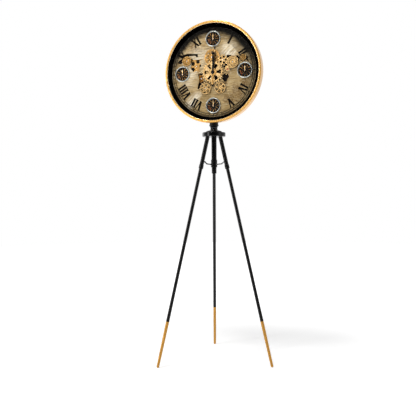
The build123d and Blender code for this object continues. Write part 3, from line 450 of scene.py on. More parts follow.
class Effects:
    """The shared surface effects, each built once."""

    def __init__(self) -> None:
        """Builds all groups."""
        self.mottle = self.make_mottle()
        self.grain = self.make_grain()
        self.turning = self.make_turning()
        self.hollows = self.make_hollows()
        self.edge_wear_and_highlight = self.make_edge_wear_and_highlight()

    @staticmethod
    def make_mottle() -> Effect:
        """Cloudy unevenness, large and small together."""
        effect = Effect("uneven_tone", {"Scale": (FLOAT, 20.0)}, {"Mask": FLOAT})
        wiring = effect.wiring
        place = wiring.spot()
        large = wiring.noise(place, effect.given["Scale"], 4.0, 0.6)
        fine_scale = wiring.sum("MULTIPLY", effect.given["Scale"], 7.0)
        fine = wiring.noise(place, fine_scale, 2.0)
        both = wiring.sum("ADD", wiring.sum("MULTIPLY", large, 0.7), wiring.sum("MULTIPLY", fine, 0.3))
        effect.give("Mask", wiring.fade(both, 0.32, 0.68))
        return effect

    @staticmethod
    def make_grain() -> Effect:
        """Fine pebbled skin of powder coat or moulded plastic."""
        effect = Effect("pebbled_skin", {"Scale": (FLOAT, 1500.0)}, {"Height": FLOAT})
        wiring = effect.wiring
        effect.give("Height", wiring.noise(wiring.spot(), effect.given["Scale"], 1.0))
        return effect

    @staticmethod
    def make_turning() -> Effect:
        """Fine rings left by the lathe round a centre."""
        given = {"Centre": (VECTOR, (0.0, 0.0, 0.0)), "Fineness": (FLOAT, 1200.0)}
        effect = Effect("turning_rings", given, {"Height": FLOAT})
        wiring = effect.wiring
        place = wiring.add("ShaderNodeTexCoord").outputs["Object"]
        inputs = {0: place, 1: effect.given["Centre"]}
        local = wiring.add("ShaderNodeVectorMath", inputs, operation="SUBTRACT").outputs[0]
        rings = wiring.sum("MULTIPLY", wiring.radius(local), effect.given["Fineness"])
        line = wiring.add("ShaderNodeTexNoise", {"W": rings, "Scale": 1.0, "Detail": 2.0}, noise_dimensions="1D")
        effect.give("Height", line.outputs[0])
        return effect

    @staticmethod
    def make_hollows() -> Effect:
        """Patina and painted shade that gather in a piece's own hollows, from ambient occlusion."""
        given = {"Distance": (FLOAT, 0.004), "Scale": (FLOAT, 300.0)}
        effect = Effect("patina_and_shade_in_hollows", given, {"Mask": FLOAT})
        wiring = effect.wiring
        shade = wiring.add("ShaderNodeAmbientOcclusion", {"Distance": effect.given["Distance"]}, samples=4)
        shade.only_local = True
        closed = wiring.sum("SUBTRACT", 1.0, shade.outputs["AO"])
        cloud = wiring.noise(wiring.spot(), effect.given["Scale"], 3.0)
        mixed = wiring.sum("ADD", closed, wiring.sum("MULTIPLY", wiring.sum("SUBTRACT", cloud, 0.5), 0.5))
        effect.give("Mask", wiring.fade(mixed, 0.05, 0.32))
        return effect

    @staticmethod
    def make_edge_wear_and_highlight() -> Effect:
        """Bright rubbed edges, which on metal also stand for painted highlights."""
        effect = Effect("rubbed_and_highlit_edges", {"Amount": (FLOAT, 1.0)}, {"Mask": FLOAT})
        wiring = effect.wiring
        sharp = wiring.add("ShaderNodeNewGeometry").outputs["Pointiness"]
        edge = wiring.fade(sharp, 0.53, 0.62)
        cloud = wiring.fade(wiring.noise(wiring.spot(), 220.0, 2.0), 0.35, 0.6)
        effect.give("Mask", wiring.sum("MULTIPLY", wiring.sum("MULTIPLY", edge, cloud), effect.given["Amount"]))
        return effect


effects = Effects()


# Finishes


def blank_material(name: str) -> tuple[bpy.types.Material, Wiring]:
    """Starts a material with nothing but its output."""
    material = bpy.data.materials.new(name)
    material.use_nodes = True
    material.node_tree.nodes.clear()
    return material, Wiring(material.node_tree)


def close_material(wiring: Wiring, shader: Socket) -> None:
    """Joins the last shader to the material's output."""
    wiring.add("ShaderNodeOutputMaterial", {"Surface": shader})


@dataclass(frozen=True)
class MetalFinish:
    """Worked metal with turning rings, patina and painted shade in its hollows, and painted highlights on its edges.

    The colours are sRGB chips, and the shares run from 0 to 1.
    """

    colour: str
    cloud: str
    # Colour of the patina and painted shade in the hollows.
    patina_and_shade: str
    # Colour of the painted highlight on the edges.
    bright: str
    roughness: float = 0.3
    metallic: float = 1.0
    cloud_share: float = 0.5
    patina_and_shade_share: float = 0.9
    patina_and_shade_reach: float = 0.004
    edge_share: float = 0.6
    ring_fineness: float = 1400.0
    ring_strength: float = 0.06
    scale: float = 60.0
    uneven: float = 0.07
    coat: float = 0.0

    def material(self, name: str, centre: Sequence[float] = (0.0, 0.0, 0.0)) -> bpy.types.Material:
        """Makes the material.

        Args:
            name: Name of the material.
            centre: Centre of the turning rings, in metres.

        Returns:
            The material.
        """
        material, wiring = blank_material(name)
        cloud = effects.mottle.use(wiring, Scale=self.scale)["Mask"]
        # Patina and painted shade in the hollows, from ambient occlusion.
        hollow = effects.hollows.use(wiring, Distance=self.patina_and_shade_reach, Scale=self.scale * 5)["Mask"]
        edge = effects.edge_wear_and_highlight.use(wiring, Amount=self.edge_share)["Mask"]
        rings = effects.turning.use(wiring, Centre=centre, Fineness=self.ring_fineness)["Height"]
        body = wiring.blend(wiring.sum("MULTIPLY", cloud, self.cloud_share), tone(self.colour), tone(self.cloud))
        # Painted shade: the hollows darken, together with the patina there.
        aged_and_shaded = wiring.blend(wiring.sum("MULTIPLY", hollow, self.patina_and_shade_share), body, tone(self.patina_and_shade))
        # Painted highlight on the edges.
        lit = wiring.blend(edge, aged_and_shaded, tone(self.bright))
        rough = wiring.sum("ADD", wiring.between(cloud, self.roughness - self.uneven, self.roughness + self.uneven),
                           wiring.sum("MULTIPLY", hollow, 0.25))
        bump = wiring.add("ShaderNodeBump", {"Strength": self.ring_strength, "Distance": 0.0004, "Height": rings})
        shader = wiring.add("ShaderNodeBsdfPrincipled", {
            "Base Color": lit, "Roughness": rough, "Metallic": self.metallic, "Coat Weight": self.coat,
            "Coat Roughness": 0.12, "Normal": bump.outputs[0]})
        close_material(wiring, shader.outputs[0])
        return material


@dataclass(frozen=True)
class CoatFinish:
    """Powder coat, satin paint or moulded plastic, with a pebbled skin and rubbed edges."""

    colour: str
    cloud: str
    wear_and_glare: str
    roughness: float = 0.42
    gloss: float = 0.3
    grain_scale: float = 1600.0
    grain_strength: float = 0.12
    edge_share: float = 0.35
    scale: float = 30.0

    def material(self, name: str) -> bpy.types.Material:
        """Makes the material under a name and returns it."""
        material, wiring = blank_material(name)
        cloud = effects.mottle.use(wiring, Scale=self.scale)["Mask"]
        edge = effects.edge_wear_and_highlight.use(wiring, Amount=self.edge_share)["Mask"]
        skin = effects.grain.use(wiring, Scale=self.grain_scale)["Height"]
        body = wiring.blend(cloud, tone(self.colour), tone(self.cloud))
        worn = wiring.blend(edge, body, tone(self.wear_and_glare))
        rough = wiring.between(cloud, self.roughness - 0.05, self.roughness + 0.05)
        bump = wiring.add("ShaderNodeBump", {
            "Strength": self.grain_strength, "Distance": 0.0003, "Height": skin})
        shader = wiring.add("ShaderNodeBsdfPrincipled", {
            "Base Color": worn, "Roughness": rough, "Specular IOR Level": self.gloss,
            "Normal": bump.outputs[0]})
        close_material(wiring, shader.outputs[0])
        return material


@dataclass(frozen=True)
class GlarePatch:
    """Painted glare and highlight on the dial: a pale oval with streaks along it."""

    across: float
    up: float
    lean: float
    length: float
    width: float
    share: float


@dataclass(frozen=True)
class ParchmentFinish:
    """Print on the dial plate: old paper with streaks and stains, painted glare, painted shade towards the bottom and a
    painted rim shadow on its uneven edge.
    """

    paper: str = "CDB384"
    deep: str = "AC9162"
    streak: str = "6C5430"
    stain: str = "573A1B"
    # Colour of the painted shadow of the rim on the dial's edge.
    rim_shadow_tone: str = "090703"
    # Colour of the painted shade towards the bottom of the dial.
    low: str = "8A7040"
    # Colour of the painted glare and highlights.
    pale: str = "F6EFDC"
    glare_patches: tuple[GlarePatch, ...] = (
        GlarePatch(0.080, 0.098, 40.0, 0.062, 0.060, 0.75), GlarePatch(0.100, 0.080, 48.0, 0.042, 0.008, 0.6),
        GlarePatch(-0.104, -0.131, 42.0, 0.072, 0.036, 0.85), GlarePatch(-0.075, 0.075, 5.0, 0.095, 0.070, 0.5),
        GlarePatch(-0.130, -0.010, 0.0, 0.065, 0.080, 0.6),
    )
    stains: tuple[tuple[float, float, float], ...] = (
        (0.128, -0.098, 0.050), (0.160, -0.055, 0.034), (0.090, -0.128, 0.040), (-0.186, -0.104, 0.036),
        (-0.150, 0.020, 0.030), (0.182, -0.020, 0.032), (-0.165, 0.112, 0.034), (0.060, -0.060, 0.024),
        (-0.090, 0.120, 0.028), (0.020, -0.190, 0.030),
    )

    def material(self, name: str) -> bpy.types.Material:
        """Makes the material under a name and returns it."""
        material, wiring = blank_material(name)
        place = wiring.spot((0, 0, HEAD_HEIGHT))
        radius = wiring.radius(place)
        axes = wiring.add("ShaderNodeSeparateXYZ", {0: place}).outputs
        colour = self.paper_colour(wiring)
        # Painted shade: the paper darkens towards the bottom.
        colour = wiring.blend(wiring.sum("MULTIPLY", wiring.fade(axes["Z"], 0.09, -0.16), 0.5), colour, tone(self.low))
        colour = self.stained(wiring, place, colour)
        # Painted glare and highlights: pale streaked ovals over the paper.
        for glare_patch in self.glare_patches:
            colour = wiring.blend(self.wear_and_glare(wiring, place, glare_patch), colour, tone(self.pale))
        ring = wiring.sum("MULTIPLY", wiring.fade(radius, 0.2108, 0.2112), wiring.fade(radius, 0.2124, 0.2120))
        colour = wiring.blend(wiring.sum("MULTIPLY", ring, 0.4), colour, tone(self.stain))
        # Painted shade: the rim's shadow and a reflection's darker arc darken the dial's edge.
        dark = self.painted_rim_shadow(wiring, place, radius, axes["X"], axes["Z"])
        colour = wiring.blend(dark, colour, tone(self.rim_shadow_tone))
        fibre = wiring.noise(wiring.spot((0, 0, HEAD_HEIGHT), (1, 1, 4)), 260.0, 3.0)
        bump = wiring.add("ShaderNodeBump", {"Strength": 0.1, "Distance": 0.0003, "Height": fibre})
        shader = wiring.add("ShaderNodeBsdfPrincipled", {
            "Base Color": colour, "Roughness": wiring.between(fibre, 0.45, 0.6),
            "Specular IOR Level": 0.12, "Normal": bump.outputs[0]})
        close_material(wiring, shader.outputs[0])
        return material

    def paper_colour(self, wiring: Wiring) -> Socket:
        """Paper with large clouds and streaks from side to side."""
        centre = (0, 0, HEAD_HEIGHT)
        cloud = wiring.fade(wiring.noise(wiring.spot(centre), 14.0, 5.0, 0.6), 0.35, 0.65)
        colour = wiring.blend(cloud, tone(self.paper), tone(self.deep))
        broad = wiring.fade(wiring.noise(wiring.spot(centre, (1, 1, 9)), 22.0, 4.0, 0.62), 0.44, 0.66)
        colour = wiring.blend(wiring.sum("MULTIPLY", broad, 0.75), colour, tone(self.streak))
        thin = wiring.fade(wiring.noise(wiring.spot(centre, (1, 1, 14)), 60.0, 3.0, 0.6), 0.55, 0.68)
        colour = wiring.blend(wiring.sum("MULTIPLY", thin, 0.7), colour, tone(self.stain))
        light = wiring.fade(wiring.noise(wiring.spot(centre, (1, 1, 7)), 40.0, 3.0), 0.53, 0.7)
        return wiring.blend(wiring.sum("MULTIPLY", light, 0.65), colour, tone("EFE2BE"))

    @staticmethod
    def wear_and_glare(wiring: Wiring, place: Socket, glare_patch: GlarePatch) -> Socket:
        """Says how pale a patch of painted glare is.

        Args:
            wiring: The material's tree.
            place: Place on the dial.
            glare_patch: The patch of painted glare.

        Returns:
            A value from 0 to 1.
        """
        inputs = {0: place, 1: (glare_patch.across, 0, glare_patch.up)}
        local = wiring.add("ShaderNodeVectorMath", inputs, operation="SUBTRACT").outputs[0]
        turned = wiring.add("ShaderNodeVectorRotate", {"Vector": local, "Axis": (0, 1, 0), "Angle": radians(glare_patch.lean)},
                            rotation_type="AXIS_ANGLE").outputs[0]
        shrunk = {"Vector": turned, "Scale": (1 / glare_patch.length, 1, 1 / glare_patch.width)}
        oval = wiring.radius(wiring.add("ShaderNodeMapping", shrunk).outputs[0])
        fine = wiring.add("ShaderNodeMapping", {"Vector": turned, "Scale": (1, 1, 6)}).outputs[0]
        streaks = wiring.between(wiring.fade(wiring.noise(fine, 16.0, 4.0, 0.6), 0.38, 0.6), 0.12, 1.0)
        return wiring.sum("MULTIPLY", wiring.sum("MULTIPLY", wiring.fade(oval, 1.0, 0.1), streaks), glare_patch.share)

    def stained(self, wiring: Wiring, place: Socket, colour: Socket) -> Socket:
        """Adds the brown stains.

        Args:
            wiring: The material's tree.
            place: Place on the dial.
            colour: The paper's colour.

        Returns:
            The stained colour.
        """
        cloud = wiring.noise(place, 45.0, 4.0, 0.65)
        spread = wiring.sum("MULTIPLY", wiring.sum("SUBTRACT", cloud, 0.5), 0.09)
        total = None
        for across, up, reach in self.stains:
            inputs = {0: place, 1: (across, 0, up)}
            local = wiring.add("ShaderNodeVectorMath", inputs, operation="SUBTRACT").outputs[0]
            distance = wiring.sum("ADD", wiring.radius(local), spread)
            mark = wiring.fade(distance, reach, reach * 0.35)
            total = mark if total is None else wiring.sum("MAXIMUM", total, mark)
        speckle = wiring.fade(wiring.noise(place, 150.0, 2.0), 0.4, 0.62)
        share = wiring.sum("MULTIPLY", total, wiring.between(speckle, 0.15, 0.75))
        return wiring.blend(share, colour, tone(self.stain))

    def painted_rim_shadow(self, wiring: Wiring, place: Socket, radius: Socket, across: Socket, up: Socket) -> Socket:
        """Painted shadow of the rim on the dial's edge, heaviest at the top and the right, with a painted reflection's
        darker band beyond an arc.

        Args:
            wiring: The material's tree.
            place: Place on the dial.
            radius: Distance from the dial's middle.
            across: Place to the right.
            up: Place upward.

        Returns:
            How dark the dial is, from 0 to 1.
        """
        inputs = {0: place, 1: (-0.024, 0, -0.012)}
        local = wiring.add("ShaderNodeVectorMath", inputs, operation="SUBTRACT").outputs[0]
        cloud = wiring.sum("MULTIPLY", wiring.sum("SUBTRACT", wiring.noise(place, 30.0, 4.0, 0.6), 0.5), 0.018)
        lift = wiring.sum("MULTIPLY", wiring.fade(up, -0.02, 0.15), 0.014)
        drift = wiring.sum("MULTIPLY", wiring.fade(across, 0.02, 0.17), 0.009)
        reach = wiring.sum("ADD", wiring.sum("ADD", radius, cloud), wiring.sum("ADD", lift, drift))
        weight = wiring.between(wiring.fade(wiring.sum("ADD", up, drift), -0.04, 0.12), 0.45, 0.99)
        # Painted shadow of the rim, heaviest at the top and the right.
        deep = wiring.sum("MULTIPLY", wiring.fade(reach, 0.182, 0.217), weight)
        lean = wiring.sum("ADD", wiring.sum("MULTIPLY", across, 0.65), wiring.sum("MULTIPLY", up, 0.76))
        # Painted reflection: a darker band outside a circle set off from the middle, towards the upper right.
        arc = wiring.sum("MULTIPLY", wiring.fade(wiring.radius(local), 0.1765, 0.1795), wiring.fade(lean, 0.03, 0.12))
        # Painted shade close under the rim all round.
        rim = wiring.sum("MULTIPLY", wiring.fade(radius, 0.206, 0.2175), 0.55)
        clear = None
        for layer in (wiring.sum("MULTIPLY", arc, 0.34), deep, rim):
            gap = wiring.sum("SUBTRACT", 1.0, layer)
            clear = gap if clear is None else wiring.sum("MULTIPLY", clear, gap)
        return wiring.sum("SUBTRACT", 1.0, clear)


@dataclass(frozen=True)
class GlassFinish:
    """Clear thin glass without glare, which lets the lamps through to the dial."""

    bend: float = 1.0

    def material(self, name: str) -> bpy.types.Material:
        """Makes the material under a name and returns it."""
        material, wiring = blank_material(name)
        glass = wiring.add("ShaderNodeBsdfPrincipled", {
            "Base Color": (1.0, 1.0, 1.0), "Roughness": 0.0, "Transmission Weight": 1.0, "IOR": self.bend})
        clear = wiring.add("ShaderNodeBsdfTransparent")
        path = wiring.add("ShaderNodeLightPath").outputs
        lit = wiring.sum("MAXIMUM", path["Is Shadow Ray"], path["Is Diffuse Ray"])
        lit = wiring.sum("MAXIMUM", lit, path["Is Glossy Ray"])
        close_material(wiring, wiring.add("ShaderNodeMixShader", {
            0: lit, 1: glass.outputs[0], 2: clear.outputs[0]}).outputs[0])
        return material


@dataclass(frozen=True)
class JewelFinish:
    """Polished enamel or ruby, a little lighter in its clouds."""

    colour: str
    cloud: str

    def material(self, name: str) -> bpy.types.Material:
        """Makes the material under a name and returns it."""
        material, wiring = blank_material(name)
        cloud = effects.mottle.use(wiring, Scale=300.0)["Mask"]
        shader = wiring.add("ShaderNodeBsdfPrincipled", {
            "Base Color": wiring.blend(cloud, tone(self.colour), tone(self.cloud)),
            "Roughness": wiring.between(cloud, 0.12, 0.22), "Coat Weight": 0.4})
        close_material(wiring, shader.outputs[0])
        return material


@dataclass(frozen=True)
class CellFinish:
    """Plain sleeve of a dry cell, with a copper band at its plus end."""

    sleeve: str = "23262B"
    band: str = "B5763A"
    clock_band: float = 0.012
    motor_band: float = 0.050
    divide: float = 1.350

    def material(self, name: str) -> bpy.types.Material:
        """Makes the material under a name and returns it."""
        material, wiring = blank_material(name)
        axes = wiring.add("ShaderNodeSeparateXYZ", {0: wiring.spot()}).outputs
        clock = wiring.sum("GREATER_THAN", axes["Z"], self.divide)
        upper = wiring.sum("MULTIPLY", clock, wiring.sum("GREATER_THAN", axes["X"], self.clock_band))
        lower = wiring.sum("MULTIPLY", wiring.sum("SUBTRACT", 1.0, clock),
                           wiring.sum("GREATER_THAN", axes["X"], self.motor_band))
        cloud = effects.mottle.use(wiring, Scale=200.0)["Mask"]
        colour = wiring.blend(wiring.sum("ADD", upper, lower), tone(self.sleeve), tone(self.band))
        shader = wiring.add("ShaderNodeBsdfPrincipled", {
            "Base Color": colour, "Metallic": 0.6, "Roughness": wiring.between(cloud, 0.28, 0.4)})
        close_material(wiring, shader.outputs[0])
        return material


GOLD_COAT = MetalFinish("DCA445", "D29A3C", "9A5F16", "FFE2A0", roughness=0.28, metallic=0.6, cloud_share=0.35,
                        patina_and_shade_share=0.0, edge_share=0.0, ring_strength=0.015, scale=5.0, uneven=0.015, coat=0.8)
FOOT_GOLD = MetalFinish("C8923E", "AC782C", "6E4310", "F2C878", roughness=0.3, metallic=0.6, cloud_share=0.4,
                        patina_and_shade_share=0.4, edge_share=0.3, ring_strength=0.03, scale=14.0)
BRASS = MetalFinish("A67C40", "6C4A20", "0C0602", "FFE8BC", roughness=0.32, metallic=0.9, cloud_share=0.35,
                    patina_and_shade_share=1.0, patina_and_shade_reach=0.012, edge_share=0.8, scale=45.0)
PALE_BRASS = MetalFinish("C8A268", "8E6A36", "120A03", "FFF3D2", roughness=0.3, metallic=0.9, cloud_share=0.35,
                         patina_and_shade_share=1.0, patina_and_shade_reach=0.012, edge_share=0.8, scale=45.0)
# Near-white gold for the painted highlight on the hoop's inner lip.
HIGHLIGHT_GOLD = MetalFinish("FFE9BE", "F4D298", "B07A2A", "FFF4DA", roughness=0.2, metallic=0.6, cloud_share=0.3,
                        patina_and_shade_share=0.2, edge_share=0.2, ring_strength=0.02, scale=18.0, coat=1.0)
OLD_BRONZE = MetalFinish("8A5C28", "5E3A14", "0E0702", "D9A45C", roughness=0.34, patina_and_shade_reach=0.009, scale=80.0)
SILVER = MetalFinish("B4B6B0", "8E908A", "3A3834", "FFFFFF", roughness=0.36, cloud_share=0.3, patina_and_shade_share=0.5,
                     patina_and_shade_reach=0.006, ring_strength=0.02, scale=50.0)
STEEL = MetalFinish("A9ABAE", "85878A", "2D2C2A", "E6E8EA", roughness=0.3, scale=90.0)
HAND_BLACK = CoatFinish("050504", "090807", "2A2622", roughness=0.4, gloss=0.2, grain_strength=0.04, edge_share=0.15)
STAND_BLACK = CoatFinish("050505", "080808", "18181A", roughness=0.2, gloss=0.22, grain_strength=0.03,
                         edge_share=0.15)
PLATE_BLACK = CoatFinish("0E0E0F", "161617", "2A2A2B", roughness=0.6, gloss=0.2, grain_strength=0.1, edge_share=0.2)
RIM_BLACK = CoatFinish("020202", "040404", "080808", roughness=0.6, gloss=0.0, grain_strength=0.03, edge_share=0.0)
WORKS_BLACK = CoatFinish("0B0906", "16110B", "2E2417", roughness=0.6, gloss=0.1, grain_strength=0.08, edge_share=0.2)
PLASTIC = CoatFinish("101011", "171718", "2E2E30", roughness=0.5, gloss=0.3, grain_scale=2200.0,
                     grain_strength=0.2, edge_share=0.15)
PRINT = CoatFinish("040302", "090705", "1C160D", roughness=0.6, gloss=0.06, edge_share=0.1, grain_strength=0.04)
FACE_BLACK = CoatFinish("060504", "0D0A07", "1E1810", roughness=0.5, gloss=0.12, edge_share=0.1)
RUBY = JewelFinish("8C1218", "C4322E")
EMBER = JewelFinish("A8441A", "C8642A")
ROSE = JewelFinish("E8B9A0", "F2D3BE")


# Putting pieces in the clock


def at_dial(across: float, up: float, depth: float) -> tuple[float, float, float]:
    """Place in the clock of a point on the dial, with its distance in front of the neck's axis."""
    return (across, -depth, HEAD_HEIGHT + up)


def dress(node: str, material: bpy.types.Material) -> None:
    """Gives a CAD node that stays its material."""
    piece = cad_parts[node]
    if not piece.material_slots:
        piece.data.materials.append(material)
    for place in piece.material_slots:
        place.material = material
    log.info("dressed %s", node)


def fitted(piece: Piece, body: str, slot: str, material: bpy.types.Material, *nodes: str) -> Piece:
    """Fits a new piece in the clock.

    Args:
        piece: The piece, in place.
        body: Body that it moves with.
        slot: Material slot of the record that its finish belongs to. Not used.
        material: Its material.
        nodes: CAD nodes that it stands for.

    Returns:
        The piece.
    """
    piece.data.materials.clear()
    piece.data.materials.append(material)
    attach(piece, body)
    if nodes:
        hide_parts(*nodes)
    log.info("fitted %s on %s, %d faces", piece.name, body, len(piece.data.polygons))
    return piece


def tip_depth(node: str, across: float, up: float, reach: float) -> float:
    """Distance in front of the neck's axis of the foremost point that a node has near a place on the dial."""
    spot = Vector((across, HEAD_HEIGHT + up))
    near = [v.co.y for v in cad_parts[node].data.vertices if (v.co.xz - spot).length < reach]
    return -min(near)


def slotted_head(name: str, radius: float, height: float) -> Piece:
    """Makes a domed screw head with a slot.

    Args:
        name: Name of the piece.
        radius: Radius of the head.
        height: Height of the head.

    Returns:
        The head, standing on the bench.
    """
    head = Bench.turned(name, [(0, height), (radius * 0.8, height), (radius * 0.95, height * 0.8),
                               (radius, height * 0.45), (radius, 0), (0, 0)], 24)
    Bench.edit(head)
    for side in (-1, 1):
        for axis, reach in (((1, 0, 0), 0.14), ((0, 1, 0), 0.72)):
            bpy.ops.mesh.select_all(action="SELECT")
            bpy.ops.mesh.bisect(plane_co=tuple(a * side * reach * radius for a in axis), plane_no=axis)
    Bench.close()
    Bench.pick_faces(head, lambda middle, normal: (
        normal.z > 0.9 and abs(middle.x) < 0.14 * radius and abs(middle.y) < 0.72 * radius))
    bpy.ops.mesh.extrude_region_move(TRANSFORM_OT_translate={"value": (0, 0, -height * 0.5)})
    Bench.close()
    bpy.ops.object.shade_smooth_by_angle(angle=radians(35))
    return head


@dataclass
class Hoop:
    """Gold hoop of the drum, its front ring, the black sloped ring inside it and the glass."""

    outer: float = 0.2449
    groove: float = 0.0005
    groove_depth: float = 0.0178
    back: float = 0.0130
    shoulder: float = 0.0220
    crown: float = 0.2400
    front: float = 0.0269
    lip: float = 0.2340
    lip_front: float = 0.0250
    glass_front: float = 0.0231
    seat: float = 0.2383
    bead: float = 0.0008
    sides: int = 192

    def build(self) -> None:
        """Builds and dresses the hoop."""
        gold = GOLD_COAT.material("hoop_gold", at_dial(0, 0, 0))
        dress("drum_shell", gold)
        dress("front_glass", GlassFinish().material("clear_glass"))
        self.front_ring(gold)
        self.lip_bead()
        self.sloped_ring()

    def front_ring(self, gold: bpy.types.Material) -> None:
        """Turns the front ring with its rounded face and the fine groove on its side."""
        g, d = self.groove, self.groove_depth
        profile = [(self.outer, self.back), (self.outer, d - 2 * g), (self.outer - g, d - g), (self.outer - g, d + g),
                   (self.outer, d + 2 * g)]
        for step in range(8):
            angle = pi / 2 * step / 7
            profile.append((self.crown + (self.outer - self.crown) * cos(angle),
                            self.shoulder + (self.front - self.shoulder) * sin(angle)))
        for step in range(1, 7):
            angle = pi / 2 * step / 6
            profile.append((self.crown - (self.crown - self.lip) * sin(angle),
                            self.lip_front + (self.front - self.lip_front) * cos(angle)))
        profile += [(self.lip, self.glass_front), (self.seat, self.glass_front), (self.seat, self.back)]
        ring = Bench.turned("front_ring", profile, self.sides, loop=True)
        Bench.take(ring)
        bpy.ops.object.shade_smooth_by_angle(angle=radians(32))
        fitted(Bench.placed(ring, at_dial(0, 0, 0), Facing.FRONT), "drum", "gold_paint", gold, "front_bezel")

    def lip_bead(self) -> None:
        """Turns the thin bead on the ring's inner lip, in near-white gold as a painted highlight."""
        middle = (self.lip - self.bead * 0.6, self.lip_front - self.bead * 1.2)
        profile = [(middle[0] + self.bead * cos(a), middle[1] + self.bead * sin(a))
                   for a in (2 * pi * n / 10 for n in range(10))]
        bead = Bench.turned("lip_bead", profile, self.sides, loop=True)
        Bench.take(bead)
        bpy.ops.object.shade_smooth_by_angle(angle=radians(60))
        # Painted highlight: the bead's near-white gold stands for the bright line that the inner lip reflects.
        bright = HIGHLIGHT_GOLD.material("bead_highlight", at_dial(0, 0, 0))
        fitted(Bench.placed(bead, at_dial(0, 0, 0), Facing.FRONT), "drum", "gold_paint", bright)

    def sloped_ring(self) -> None:
        """Turns the black ring that slopes from the glass to the dial, with its fine step."""
        profile = [(0.2378, 0.0199), (0.2312, 0.0199), (0.2305, 0.0193), (0.2239, 0.0136), (0.2235, 0.0137),
                   (0.2231, 0.0129), (0.2157, 0.0064), (0.2153, 0.0061), (0.2188, 0.0061), (0.2326, 0.0183),
                   (0.2378, 0.0183)]
        ring = Bench.turned("sloped_ring", profile, self.sides, loop=True)
        Bench.eased(ring, 0.00015, 2, 25)
        black = RIM_BLACK.material("rim_black")
        fitted(Bench.placed(ring, at_dial(0, 0, 0), Facing.FRONT), "drum", "black_plastic", black, "inner_rim")


@dataclass
class DialFace:
    """Dial plate with its print, its raised numerals and its minute track."""

    circle: float = 0.173
    height: float = 0.0438
    heavy: float = 0.0096
    light: float = 0.0056
    pitch: float = 0.0134
    serif: float = 0.0036
    overhang: float = 0.0016
    depth: float = 0.0006
    base: float = 0.0060
    numerals: tuple[tuple[int, str], ...] = (
        (1, "I"), (2, "II"), (4, "IV"), (5, "V"), (7, "VII"), (8, "VIII"), (10, "X"), (11, "XI"))
    track_swell: float = 0.0008

    def build(self) -> None:
        """Builds and dresses the dial."""
        dress("dial_plate", ParchmentFinish().material("aged_parchment"))
        ink = PRINT.material("numeral_black")
        numerals = []
        for hour, letters in self.numerals:
            numeral = Bench.placed(self.numeral(letters), (0, self.circle, 0))
            numerals.append(Bench.placed(numeral, at_dial(0, 0, self.base), Facing.FRONT, -30.0 * hour))
        fitted(Bench.joined(numerals, "hour_numerals"), "drum", "print", ink, "roman_numerals")
        track = Bench.softened("minute_track", "minute_ring", 0.00006, 1)
        Bench.edit(track)
        bpy.ops.transform.shrink_fatten(value=self.track_swell, use_even_offset=False)
        Bench.close()
        fitted(track, "drum", "print", ink, "minute_track")

    def numeral(self, letters: str) -> Piece:
        """Makes one numeral on the bench, upright on the Y axis.

        Args:
            letters: Its letters, as I, V and X.

        Returns:
            The numeral.
        """
        widths = {"I": self.pitch, "V": 2 * self.pitch, "X": 2 * self.pitch}
        left = -sum(widths[letter] for letter in letters) / 2
        strokes = []
        for letter in letters:
            middle = left + widths[letter] / 2
            left += widths[letter]
            if letter == "I":
                strokes.append(self.stroke(middle, middle, self.heavy))
            elif letter == "V":
                strokes.append(self.stroke(middle, middle - self.pitch * 0.72, self.heavy))
                strokes.append(self.stroke(middle, middle + self.pitch * 0.72, self.light))
            else:
                half = self.pitch * 0.68
                strokes.append(self.stroke(middle + half, middle - half, self.heavy))
                strokes.append(self.stroke(middle - half, middle + half, self.light))
        return Bench.joined(strokes, letters)

    def stroke(self, foot: float, head: float, width: float) -> Piece:
        """Makes one stroke from its foot to its head, with a serif at each end.

        Args:
            foot: Place of its foot along X.
            head: Place of its head along X.
            width: Its width.

        Returns:
            The stroke.
        """
        bar = Bench.bar("stroke", width, self.height, self.depth)
        for end, place in ((-1, foot), (1, head)):
            Bench.edit(bar)
            bpy.ops.mesh.select_all(action="DESELECT")
            bpy.ops.object.mode_set(mode="OBJECT")
            for vertex in bar.data.vertices:
                vertex.select = vertex.co.y * end > self.height * 0.4
            bpy.ops.object.mode_set(mode="EDIT")
            bpy.ops.transform.translate(value=(place, 0, 0))
            Bench.close()
        parts = [bar]
        for end, place in ((-1, foot), (1, head)):
            serif = Bench.bar("serif", width + 2 * self.overhang, self.serif, self.depth)
            parts.append(Bench.placed(serif, (place, end * (self.height - self.serif) / 2, 0)))
        return Bench.joined(parts, "stroke")


class Side(Enum):
    """Where a sub-dial sits: across and up from the dial's middle, as shares of their circle."""

    TOP = (0, 1)
    RIGHT = (1, 0)
    BOTTOM = (0, -1)
    LEFT = (-1, 0)


